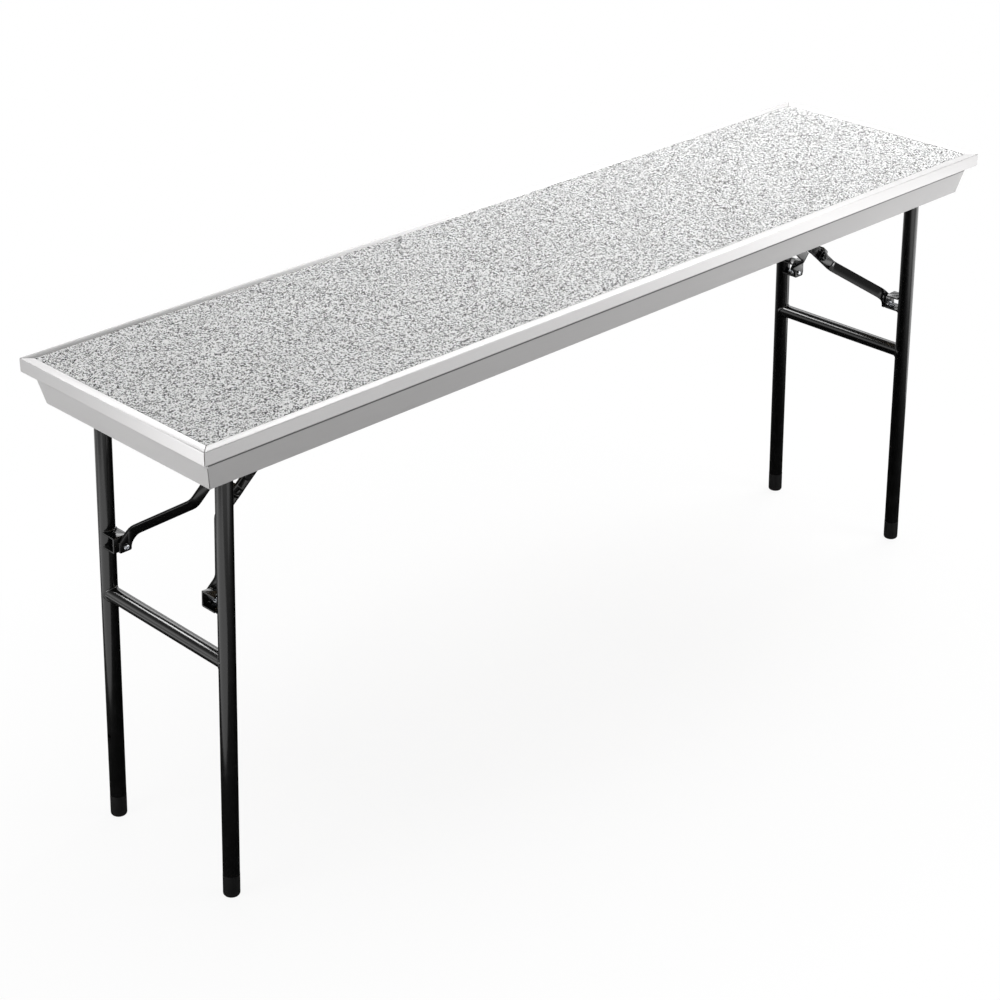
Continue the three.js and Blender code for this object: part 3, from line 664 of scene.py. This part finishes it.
def make_carpet():
    """The carpet: a fine grid whose pile rises and falls in clumps, closed underneath."""
    sizes = bpy.context.scene.riser_sizes
    low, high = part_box("deck_carpet")
    trim_low, trim_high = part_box("trim_front")
    inset = trim_high.y - trim_low.y + CLEARANCE
    half = Vector((-trim_low.x - inset, -trim_low.y - inset))
    count = [round(2 * reach / sizes.carpet_grid) for reach in half]
    bpy.ops.object.select_all(action="DESELECT")
    bpy.ops.mesh.primitive_grid_add(x_subdivisions=count[0], y_subdivisions=count[1], size=2,
                                    location=(0, 0, high.z - sizes.carpet_rise / 4))
    bpy.ops.transform.resize(value=(half.x, half.y, 1))
    piece = into_mesh("carpet_finished")
    clumps = bpy.data.textures.new("pile_clumps", "CLOUDS")
    clumps.noise_scale = sizes.carpet_tuft
    clumps.noise_depth = 1
    apply_modifier(piece, "DISPLACE", texture=clumps, texture_coords="LOCAL", direction="Z",
                   strength=sizes.carpet_rise, mid_level=0.5)
    open_mesh(piece)
    pick("EDGE", lambda edge: edge.is_boundary)
    bpy.ops.mesh.extrude_region_move()
    bpy.ops.transform.resize(value=(1, 1, 0), center_override=(0, 0, low.z))
    bpy.ops.mesh.edge_face_add()
    close_mesh()
    return piece


class RISER_OT_carpet(bpy.types.Operator):
    """Lay the carpet on the deck board"""

    bl_idname = "riser.carpet"
    bl_label = "Carpet"

    def execute(self, context):
        piece = make_carpet()
        finish_for(piece, "deck_carpet", smooth=180)
        return {"FINISHED"}


class RISER_OT_board(bpy.types.Operator):
    """Model the plywood board under the carpet"""

    bl_idname = "riser.board"
    bl_label = "Board"

    def execute(self, context):
        finish_for(refined("deck_board", context.scene.riser_sizes.board_edge), "deck_board")
        return {"FINISHED"}


class RISER_OT_trim(bpy.types.Operator):
    """Model the mitred edge trim on the four sides of the deck"""

    bl_idname = "riser.trim"
    bl_label = "Edge trim"

    def execute(self, context):
        colours = context.scene.riser_colours
        along_deck = anodised_aluminium("anodised_aluminium_along", colours, 0)
        across_deck = anodised_aluminium("anodised_aluminium_across", colours, 1)
        for side, degrees in EDGES:
            node = "trim_" + side
            finish_for(make_trim(node, degrees), node, material=across_deck if degrees % 180 else along_deck)
        return {"FINISHED"}


class RISER_OT_skirt(bpy.types.Operator):
    """Model the mitred sheet skirt on the four sides of the deck"""

    bl_idname = "riser.skirt"
    bl_label = "Skirt"

    def execute(self, context):
        for side, degrees in EDGES:
            node = "skirt_" + side
            finish_for(make_skirt(node, degrees), node)
        return {"FINISHED"}


# Leg frames

def make_leg(node):
    """A leg tube with, in the back legs, the hole on its outer side."""
    sizes = bpy.context.scene.riser_sizes
    foot, head, radius = tube_line(node)
    piece = add_rod(node + "_finished", foot, head, radius, sides=64, ends="NOTHING")
    apply_modifier(piece, "SOLIDIFY", thickness=sizes.tube_wall, offset=-1)
    if node.endswith("back"):
        up = (head - foot).normalized()
        centre = foot + up * ((sizes.leg_hole_height - foot.z) / up.z)
        outward = Vector((math.copysign(1, centre.x), 0, 0))
        carve(piece, add_rod("hole", centre + outward * radius / 2, centre + outward * radius * 2,
                             sizes.leg_hole, sides=24))
    return piece


def make_foot(node, leg):
    """A foot cap: a plug in the tube, a cap with a rounded tip, cut flat on the floor."""
    sizes = bpy.context.scene.riser_sizes
    foot, head, radius = tube_line(leg)
    up = (head - foot).normalized()
    seat = foot - up * TOLERANCE
    # The tip is drawn a little way into the floor, for the last cut to make it flat
    tip = seat - up * (seat.z / up.z + sizes.foot_rounding / 4)
    piece = add_rod(node + "_finished", tip, seat, sizes.foot_radius, sides=48)
    open_mesh(piece)
    pick("FACE", lambda face: (middle(face) - seat).length < TOLERANCE)
    bpy.ops.mesh.inset(thickness=sizes.foot_radius - radius + sizes.tube_wall + 2 * CLEARANCE)
    stem = (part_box(node)[1].z - seat.z) / up.z
    extrude(up * stem)
    rim = sizes.foot_radius + TOLERANCE
    pick("EDGE", lambda edge: all((corner.co - tip).length < rim for corner in edge.verts))
    bpy.ops.mesh.bevel(offset=sizes.foot_rounding, segments=6, profile=0.5, affect="EDGES")
    cut((0, 0, 0), (0, 0, 1), clear_inner=True, use_fill=True)
    close_mesh()
    return piece


def make_crossbar(node, legs):
    """The bar between two legs, its ends shaped to fit round them."""
    low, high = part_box(node)
    centre = (low + high) / 2
    reach = along_y(abs(tube_line(legs[0])[0].y))
    piece = add_rod(node + "_finished", centre - reach, centre + reach, (high.z - low.z) / 2)
    for leg in legs:
        foot, head, radius = tube_line(leg)
        carve(piece, add_rod("leg_space", foot, head, radius + CLEARANCE, sides=64))
    return piece


def ripple(piece, centre, axis, count, depth):
    """Swells a weld bead into even ripples round an axis."""
    across = axis.orthogonal().normalized()
    other = axis.cross(across)
    for corner in piece.data.vertices:
        away = corner.co - centre
        flat = away - axis * away.dot(axis)
        angle = math.atan2(flat.dot(other), flat.dot(across))
        corner.co += flat.normalized() * depth * math.cos(count * angle)


def make_ring_bead(name, centre, axis, ring_radius):
    """A ring of weld metal round an axis."""
    sizes = bpy.context.scene.riser_sizes
    bpy.ops.object.select_all(action="DESELECT")
    bpy.ops.mesh.primitive_torus_add(
        major_radius=ring_radius, minor_radius=sizes.weld_bead, major_segments=96, minor_segments=10,
        location=centre, rotation=axis.to_track_quat("Z", "Y").to_euler())
    piece = into_mesh(name)
    count = round(2 * math.pi * ring_radius / sizes.weld_ripple)
    ripple(piece, centre, axis, count, depth=0.12 * sizes.weld_bead)
    return piece


def crossbar_bead(crossbar, leg):
    """The bead between crossbar and leg, bent to the curve of the leg."""
    low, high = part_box(crossbar)
    radius = (high.z - low.z) / 2
    foot, head, leg_radius = tube_line(leg)
    inward = -math.copysign(1, foot.y)
    centre = Vector(((low.x + high.x) / 2, foot.y, (low.z + high.z) / 2))
    piece = make_ring_bead("weld_" + crossbar + "_" + leg.split("_")[-1], centre, along_y(1), radius)
    # Further round than this the bead would leave the leg's surface
    widest = 0.98 * leg_radius
    for corner in piece.data.vertices:
        across = min(abs(corner.co.x - centre.x), widest)
        corner.co.y += inward * math.sqrt(leg_radius ** 2 - across ** 2)
    return piece


def flange_bead(channel, leg, top):
    """The bead between one flange of a brace channel and its leg: the part of a ring at that flange."""
    low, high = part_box(channel)
    foot, head, leg_radius = tube_line(leg)
    up = (head - foot).normalized()
    inward = along_y(-math.copysign(1, foot.y))
    level, height = ("upper", high.z) if top else ("lower", low.z)
    centre = foot + up * ((height - foot.z) / up.z)
    piece = make_ring_bead(f"weld_{channel}_{level}", centre, up, leg_radius)
    start = min(abs(low.y - foot.y), abs(high.y - foot.y))
    open_mesh(piece)
    cut(centre + inward * start, inward, clear_inner=True, use_fill=True)
    close_mesh()
    return piece


class RISER_OT_legs(bpy.types.Operator):
    """Model the leg tubes and their foot caps"""

    bl_idname = "riser.legs"
    bl_label = "Legs and feet"

    def execute(self, context):
        for end, side in CORNERS:
            leg, foot = f"leg_{end}_{side}", f"foot_{end}_{side}"
            finish_for(make_leg(leg), leg)
            finish_for(make_foot(foot, leg), foot)
        return {"FINISHED"}


class RISER_OT_crossbars(bpy.types.Operator):
    """Model the crossbars of the leg frames"""

    bl_idname = "riser.crossbars"
    bl_label = "Crossbars"

    def execute(self, context):
        for end in ENDS:
            node = "crossbar_" + end
            finish_for(make_crossbar(node, [f"leg_{end}_{side}" for side in SIDES]), node)
        return {"FINISHED"}


class RISER_OT_channels(bpy.types.Operator):
    """Model the channels on the legs that carry the braces"""

    bl_idname = "riser.channels"
    bl_label = "Brace channels"

    def execute(self, context):
        finish_pressings(f"brace_channel_{end}_{side}" for end, side in CORNERS)
        return {"FINISHED"}


class RISER_OT_welds(bpy.types.Operator):
    """Model the weld beads of crossbars and channels"""

    bl_idname = "riser.welds"
    bl_label = "Weld beads"

    def execute(self, context):
        for end, side in CORNERS:
            leg = f"leg_{end}_{side}"
            beads = [crossbar_bead("crossbar_" + end, leg)]
            beads += [flange_bead(f"brace_channel_{end}_{side}", leg, top) for top in (True, False)]
            for bead in beads:
                finish_piece(bead, BODY_OF[leg], SLOT_OF[leg], smooth=60)
        return {"FINISHED"}


# Braces

class RISER_OT_braces(bpy.types.Operator):
    """Model the brace arms, their straps and the upper links"""

    bl_idname = "riser.braces"
    bl_label = "Braces"

    def execute(self, context):
        for end in ENDS:
            finish_pressings(f"brace_arm_{end}_{side}" for side in SIDES)
            finish_pressings([f"brace_strap_{end}", f"upper_link_{end}"])
        return {"FINISHED"}


class RISER_OT_brackets(bpy.types.Operator):
    """Model the hinge brackets under the board"""

    bl_idname = "riser.brackets"
    bl_label = "Brackets"

    def execute(self, context):
        for end in ENDS:
            finish_pressings(f"leg_hinge_bracket_{end}_{side}" for side in SIDES)
            finish_pressings([f"link_bracket_{end}"])
        return {"FINISHED"}


def add_head(piece, end, outward, radius, profile):
    """Draws a head out of a rod's end face at end, through (radius, height) steps, the first at the seat."""
    open_mesh(piece)
    pick("FACE", lambda face: (middle(face) - end).length < TOLERANCE)
    reached = 0
    for step_radius, height in profile:
        extrude(along_y(outward * (height - reached)))
        factor = step_radius / radius
        bpy.ops.transform.resize(value=(factor, 1, factor), center_override=end)
        radius, reached = step_radius, height
    close_mesh()


def make_pin(node, head_height):
    """A pin along Y with a flat, chamfered head at each end."""
    sizes = bpy.context.scene.riser_sizes
    low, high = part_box(node)
    centre = (low + high) / 2
    head = (high.z - low.z) / 2
    seats = [Vector((centre.x, y, centre.z)) for y in (low.y + head_height, high.y - head_height)]
    piece = add_rod(node + "_finished", *seats, sizes.pin_radius, sides=40)
    rim = 0.3 * head_height
    profile = ((head, 0), (head, rim), (head - sizes.pin_chamfer, head_height))
    for seat, outward in zip(seats, (-1, 1)):
        add_head(piece, seat, outward, sizes.pin_radius, profile)
    return piece


def add_cross_recess(piece, centre, axis, width):
    """Presses a cross into a screw's head, askew as a driver leaves it."""
    reach = Vector((width, 0.22 * width, width / 4)) / 2
    for degrees in (20, 110):
        slot = add_box("cross_slot", -reach, reach)
        slot.rotation_euler = (Matrix.Rotation(math.radians(degrees), 3, axis)
                               @ axis.to_track_quat("Z", "Y").to_matrix()).to_euler()
        slot.location = centre
        carve(piece, slot)


def bolt_line(node):
    """Inner and outer end of a bolt along Y, the sign of Y that leads outward, and the bolt's width."""
    low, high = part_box(node)
    centre = (low + high) / 2
    inner, outer = (Vector((centre.x, y, centre.z)) for y in sorted((low.y, high.y), key=abs))
    return inner, outer, math.copysign(1, centre.y), high.z - low.z


def make_pivot_screw(node):
    """A pan head screw along Y, its head towards the middle of the deck."""
    sizes = bpy.context.scene.riser_sizes
    inner, outer, outward, width = bolt_line(node)
    seat = inner + along_y(outward * sizes.pivot_head)
    piece = add_rod(node + "_finished", outer, seat, sizes.pivot_radius, sides=32)
    # The head has a straight rim for a third of its height, then a flattened dome
    rim, flatness = 0.35, 0.4
    steps = [math.radians(step) for step in (0, 25, 50, 75)]
    profile = [(width / 2, 0)]
    for step in steps:
        rise = rim + (1 - rim) * math.sin(step) / math.sin(steps[-1])
        profile.append((width / 2 * math.cos(step) ** flatness, sizes.pivot_head * rise))
    add_head(piece, seat, -outward, sizes.pivot_radius, profile)
    add_cross_recess(piece, inner, along_y(1), 0.6 * width)
    return piece


def add_thread(name, start, end, radius):
    """A screw thread round a line: a three-sided ridge wound round a core."""
    pitch = bpy.context.scene.riser_sizes.thread_pitch
    along = end - start
    turns = int(along.length / pitch) - 1
    core = add_rod(name, start, end, radius - 0.55 * pitch, sides=32)
    ridge_size = 0.6 * pitch
    bpy.ops.object.select_all(action="DESELECT")
    bpy.ops.mesh.primitive_circle_add(vertices=3, radius=ridge_size, rotation=(math.pi / 2, math.pi / 2, 0),
                                      location=(radius - ridge_size, 0, ridge_size))
    ridge = into_mesh(name + "_ridge")
    apply_modifier(ridge, "SCREW", axis="Z", angle=2 * math.pi, screw_offset=pitch, iterations=turns,
                   steps=24, render_steps=24)
    ridge.rotation_euler = along.to_track_quat("Z", "Y").to_euler()
    ridge.location = start
    return joined([core, ridge])


def add_nut(name, start, height, width, bolt_radius):
    """A hexagon nut along Y, its corners turned off at both faces, on a bolt of that radius."""
    end = start + along_y(height)
    corner_radius = width / math.sqrt(3)
    nut = add_rod(name, start, end, corner_radius, sides=6)
    nut.data.transform(Matrix.Translation(start) @ Matrix.Rotation(math.radians(30), 4, "Y")
                       @ Matrix.Translation(-start))
    blank = add_rod("turned_blank", start, end, 1.005 * corner_radius, sides=64)
    open_mesh(blank)
    round_edges(lambda edge: abs(edge.verts[0].co.y - edge.verts[1].co.y) < TOLERANCE, 0.07 * width, 2)
    close_mesh()
    apply_modifier(nut, "BOOLEAN", operation="INTERSECT", solver="EXACT", object=blank)
    bpy.data.objects.remove(blank)
    # The bore starts before the first face and ends behind the other
    overshoot = along_y(math.copysign(0.001, height))
    bore = bolt_radius - bpy.context.scene.riser_sizes.thread_pitch / 2
    carve(nut, add_rod("nut_bore", start - overshoot, end + overshoot, bore, sides=32))
    return nut


def make_pivot_nut(node):
    """The threaded tail of a pivot screw with its nut, inside the channel."""
    sizes = bpy.context.scene.riser_sizes
    inner, outer, outward, width = bolt_line(node)
    tail = add_thread(node + "_finished", inner, outer, sizes.pivot_radius)
    start = inner + along_y(outward * sizes.channel_sheet)
    nut = add_nut(node + "_nut", start, outward * sizes.pivot_nut, width, sizes.pivot_radius)
    return joined([tail, nut])


def make_tie_bolt(node):
    """A tie bolt with its head sunk in the arm; where the node is long, a nut holds its other end."""
    sizes = bpy.context.scene.riser_sizes
    inner, outer, outward, width = bolt_line(node)
    seat = inner + along_y(outward * sizes.tie_cone)
    has_nut = (outer - inner).length > 2 * sizes.tie_nut
    shank_end = outer - along_y(outward * (sizes.tie_tail + sizes.tie_nut)) if has_nut else outer
    piece = add_rod(node + "_finished", seat, shank_end, sizes.tie_radius, sides=32)
    add_head(piece, seat, -outward, sizes.tie_radius, [(sizes.tie_head, sizes.tie_cone)])
    if not has_nut:
        open_mesh(piece)
        round_edges(lambda edge: all(abs(corner.co.y - outer.y) < TOLERANCE for corner in edge.verts),
                    sizes.rivet_rounding, 3)
        close_mesh()
        return piece
    thread = add_thread(node + "_thread", shank_end, outer, sizes.tie_radius)
    nut = add_nut(node + "_nut", shank_end, outward * sizes.tie_nut, width, sizes.tie_radius)
    return joined([piece, thread, nut])


class RISER_OT_pins(bpy.types.Operator):
    """Model the hinge rods and pins"""

    bl_idname = "riser.pins"
    bl_label = "Pins and rods"

    def execute(self, context):
        sizes = context.scene.riser_sizes
        for end in ENDS:
            for kind, head in (("knee_pin", sizes.knee_head), ("link_hinge_pin", sizes.pin_head),
                               ("leg_hinge_rod", sizes.pin_head)):
                node = f"{kind}_{end}"
                finish_for(make_pin(node, head), node)
        return {"FINISHED"}


class RISER_OT_bolts(bpy.types.Operator):
    """Model the pivot screws, their nuts and the tie bolts"""

    bl_idname = "riser.bolts"
    bl_label = "Bolts and nuts"

    def execute(self, context):
        makers = {"pivot_screw": make_pivot_screw, "pivot_nut": make_pivot_nut, "tie_bolt": make_tie_bolt}
        for end, side in CORNERS:
            for kind, maker in makers.items():
                node = f"{kind}_{end}_{side}"
                finish_for(maker(node), node)
        return {"FINISHED"}


def make_wood_screw():
    """A pan head wood screw, head down, its seat at the origin."""
    sizes = bpy.context.scene.riser_sizes
    shank, length, point = 0.45 * sizes.screw_head, 0.011, 0.003
    piece = add_rod("wood_screw", (0, 0, 0), (0, 0, length), shank, sides=16)
    open_mesh(piece)
    pick("FACE", lambda face: face.normal.z > FACING)
    extrude((0, 0, point))
    bpy.ops.transform.resize(value=(0.1, 0.1, 1))
    # Each step of the head scales the outline before it and lies so far below it
    head_steps = ((sizes.screw_head / shank, 0), (1, 0.0008), (0.86, 0.0008), (0.62, 0.0005))
    pick("FACE", lambda face: face.normal.z < -FACING)
    for scale, drop in head_steps:
        extrude((0, 0, -drop))
        bpy.ops.transform.resize(value=(scale, scale, 1))
    close_mesh()
    head_face = Vector((0, 0, -sum(drop for scale, drop in head_steps)))
    add_cross_recess(piece, head_face, Vector((0, 0, 1)), 1.1 * sizes.screw_head)
    return piece


def bracket_screw_places():
    """Places of the screws at the corners of every bracket plate."""
    sizes = bpy.context.scene.riser_sizes
    places = []
    for node in SLOT_OF:
        if "bracket" in node:
            low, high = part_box(node)
            for x in (low.x + sizes.screw_inset, high.x - sizes.screw_inset):
                for y in (low.y + sizes.screw_inset, high.y - sizes.screw_inset):
                    places.append(Vector((x, y, high.z - sizes.plate)))
    return places


def skirt_screw_places():
    """Places of the screws along the upper flange of every side of the skirt."""
    sizes = bpy.context.scene.riser_sizes
    places = []
    for side, degrees in EDGES:
        low, high = drawn_box("skirt_" + side, degrees)
        inset = high.y - low.y - sizes.screw_inset
        run = high.x - low.x - 2 * inset
        count = SHORT_SIDE_SCREWS if degrees % 180 else LONG_SIDE_SCREWS
        for i in range(count):
            place = Vector((run * (i + 0.5) / count - run / 2, low.y + inset, high.z - sizes.skirt_sheet))
            places.append(Matrix.Rotation(math.radians(degrees), 3, "Z") @ place)
    return places


class RISER_OT_wood_screws(bpy.types.Operator):
    """Model the wood screws that hold the brackets and the skirt to the board"""

    bl_idname = "riser.wood_screws"
    bl_label = "Wood screws"

    def execute(self, context):
        pattern = make_wood_screw()
        for number, place in enumerate(bracket_screw_places() + skirt_screw_places()):
            screw = copy_of(pattern, f"wood_screw_{number + 1}")
            screw.rotation_euler.z = math.radians(SCREW_TURN * number)
            screw.location = place
            bpy.ops.object.transform_apply(location=True, rotation=True)
            finish_piece(screw, "deck", "zinc")
        bpy.data.objects.remove(pattern)
        return {"FINISHED"}


# Stage

def add_lamp(name, place, target, width, height, power):
    """A soft lamp that faces a point."""
    aim = (Vector(target) - Vector(place)).to_track_quat("-Z", "Y").to_euler()
    bpy.ops.object.light_add(type="AREA", location=place, rotation=aim)
    lamp = bpy.context.object
    lamp.name = name
    lamp.data.shape = "RECTANGLE"
    lamp.data.size = width
    lamp.data.size_y = height
    lamp.data.energy = power
    lamp.visible_camera = False
    return lamp


def add_card(name, place, target, width, height, power):
    """A bright card that only shows as a highlight in glossy surfaces."""
    card = add_lamp(name, place, target, width, height, power)
    card.visible_diffuse = False


def ray_kinds(tree):
    """Two outputs: 1 for rays from the camera, also through glass, and 1 for rays from glossy surfaces."""
    rays = add_node(tree, "ShaderNodeLightPath")
    seen = add_math(tree, "MAXIMUM", rays.outputs["Is Camera Ray"], rays.outputs["Is Transmission Ray"])
    return seen, rays.outputs["Is Glossy Ray"]


def add_white(tree, kind, strength):
    """Output of a white emission or background of that strength."""
    return add_node(tree, kind, {"Color": (1, 1, 1, 1), "Strength": strength}).outputs[0]


def mix_shaders(tree, share, first, second):
    """Output between two shaders."""
    return add_node(tree, "ShaderNodeMixShader", {0: share, 1: first, 2: second}).outputs[0]


def add_floor(colours):
    """A wide pale floor. The camera sees it white away from the riser and partly lit near it, so that
    the riser keeps its shadow. Glossy surfaces see it dim in the riser's shade and brighter beyond."""
    bpy.ops.object.select_all(action="DESELECT")
    bpy.ops.mesh.primitive_plane_add(size=60)
    floor = bpy.context.object
    floor.name = "studio_floor"
    material, tree, place = new_material("pale_studio_floor")
    set_shader(material, Base_Color=colours.floor, Roughness=0.9, Specular_IOR_Level=0.1)
    seen, glossy = ray_kinds(tree)
    # Distance from the middle of the deck, counted shorter along the deck
    oval = add_stretch(tree, place, (0.6, 1, 1))
    distance = add_node(tree, "ShaderNodeVectorMath", {"operation": "LENGTH", 0: oval}).outputs["Value"]
    whiteness = add_range(tree, distance, low=0.84, high=1.0, start=0.3, end=0.95)
    lit = tree.nodes["Principled BSDF"].outputs[0]
    plain = mix_shaders(tree, add_math(tree, "MULTIPLY", seen, whiteness), lit,
                        add_white(tree, "ShaderNodeEmission", 1.0))
    # The mirrored floor brightens with the cube of the distance, up to its brightest
    at_one_metre, brightest = 0.16, 0.9
    rise = add_math(tree, "MULTIPLY", add_math(tree, "POWER", distance, 3.0), at_one_metre)
    mirrored = add_white(tree, "ShaderNodeEmission", add_math(tree, "MINIMUM", rise, brightest))
    surface = mix_shaders(tree, glossy, plain, mirrored)
    tree.links.new(surface, tree.nodes["Material Output"].inputs["Surface"])
    floor.data.materials.append(material)


def set_world():
    """An even air: white to the camera, dimmer as a light. Glossy surfaces see a bright backdrop all
    round, up to a low ceiling of dim air."""
    world = bpy.data.worlds.new("studio_air")
    bpy.context.scene.world = world
    world.use_nodes = True
    tree = world.node_tree
    tree.nodes.clear()
    seen, glossy = ray_kinds(tree)
    height = axis_part(tree, add_node(tree, "ShaderNodeTexCoord").outputs["Generated"], "Z")
    backdrop = add_range(tree, height, low=1.3, high=0.3, start=0.2, end=0.35)
    air = add_white(tree, "ShaderNodeBackground", 0.45)
    mirrored = add_white(tree, "ShaderNodeBackground", backdrop)
    white = add_white(tree, "ShaderNodeBackground", 1.0)
    unseen = mix_shaders(tree, glossy, air, mirrored)
    add_node(tree, "ShaderNodeOutputWorld", {"Surface": mix_shaders(tree, seen, unseen, white)})


def add_camera():
    """The camera of the photograph: place, turns and lens fitted to the riser's corners."""
    yaw, pitch, roll = math.radians(42.7635), math.radians(25.5536), math.radians(-0.5520)
    turned = (Matrix.Rotation(-yaw, 3, "Z") @ Matrix.Rotation(math.pi / 2 - pitch, 3, "X")
              @ Matrix.Rotation(roll, 3, "Z"))
    bpy.ops.object.camera_add(location=(-2.56718, -2.47457, 2.17275), rotation=turned.to_euler())
    camera = bpy.context.object
    camera.name = "photograph_camera"
    camera.data.sensor_width = 36
    camera.data.lens = 81.469
    camera.data.shift_x = 0.07
    camera.data.shift_y = -0.07
    bpy.context.scene.camera = camera


class RISER_OT_stage(bpy.types.Operator):
    """Set up the floor, the lamps and the camera"""

    bl_idname = "riser.stage"
    bl_label = "Stage"

    def execute(self, context):
        add_floor(context.scene.riser_colours)
        set_world()
        # Name, place, target, width, height and power in watts of each lamp or card
        add_lamp("back_softbox", (1.2, 2.0, 2.1), (0.3, 0, 0.8), 3.2, 0.6, 22)
        add_lamp("over_right_softbox", (2.0, 0.2, 2.8), (0.7, 0, 0.8), 1.2, 1.2, 42)
        add_lamp("right_front_softbox", (2.0, -2.6, 1.1), (0.5, -0.2, 0.7), 1.6, 0.8, 42)
        add_lamp("near_end_softbox", (-3.0, 0.3, 0.8), (-0.9, 0, 0.6), 1.4, 1.0, 25)
        add_card("lip_card", (2.8, 2.8, 2.5), (0, -0.1, 0.8), 4.0, 0.8, 22)
        add_card("left_floor_card", (-1.8, 0.05, 0.01), (-1.8, 0.05, 2), 1.1, 2.0, 9)
        add_card("front_floor_card", (0.1, -1.7, 0.01), (0.1, -1.7, 2), 2.0, 0.8, 4)
        add_card("right_floor_card", (2.3, -1.0, 0.01), (2.3, -1.0, 2), 1.6, 1.6, 15)
        add_card("left_backdrop_card", (-3.4, 2.6, 0.35), (-0.87, 0, 0.45), 2.0, 0.8, 4)
        add_card("high_back_card", (-1.3, 2.7, 3.2), (0, 0, 0.4), 0.8, 0.8, 34)
        add_camera()
        context.scene.view_settings.view_transform = "Standard"
        return {"FINISHED"}


# Sidebar panel and registration

OPERATORS = (
    RISER_OT_carpet,
    RISER_OT_board,
    RISER_OT_trim,
    RISER_OT_skirt,
    RISER_OT_legs,
    RISER_OT_crossbars,
    RISER_OT_channels,
    RISER_OT_welds,
    RISER_OT_braces,
    RISER_OT_brackets,
    RISER_OT_pins,
    RISER_OT_bolts,
    RISER_OT_wood_screws,
    RISER_OT_stage,
)


class RISER_PT_panel(bpy.types.Panel):
    """Lists the riser's sizes, colours and pieces"""

    bl_idname = "RISER_PT_panel"
    bl_label = "Choir Riser"
    bl_space_type = "VIEW_3D"
    bl_region_type = "UI"
    bl_category = "Riser"

    def draw(self, context):
        for group in (context.scene.riser_sizes, context.scene.riser_colours):
            box = self.layout.box()
            for key in group.__annotations__:
                box.prop(group, key)
        for operator in OPERATORS:
            self.layout.operator(operator.bl_idname)


CLASSES = (RiserSizes, RiserColours, *OPERATORS, RISER_PT_panel)


def register():
    for item in CLASSES:
        bpy.utils.register_class(item)
    bpy.types.Scene.riser_sizes = bpy.props.PointerProperty(type=RiserSizes)
    bpy.types.Scene.riser_colours = bpy.props.PointerProperty(type=RiserColours)


def unregister():
    del bpy.types.Scene.riser_colours
    del bpy.types.Scene.riser_sizes
    for item in reversed(CLASSES):
        bpy.utils.unregister_class(item)


def main():
    """Builds every piece and the stage."""
    register()
    for operator in OPERATORS:
        getattr(bpy.ops.riser, operator.bl_idname.split(".")[1])()
    bpy.context.view_layer.update()


if __name__ == "__main__":
    main()
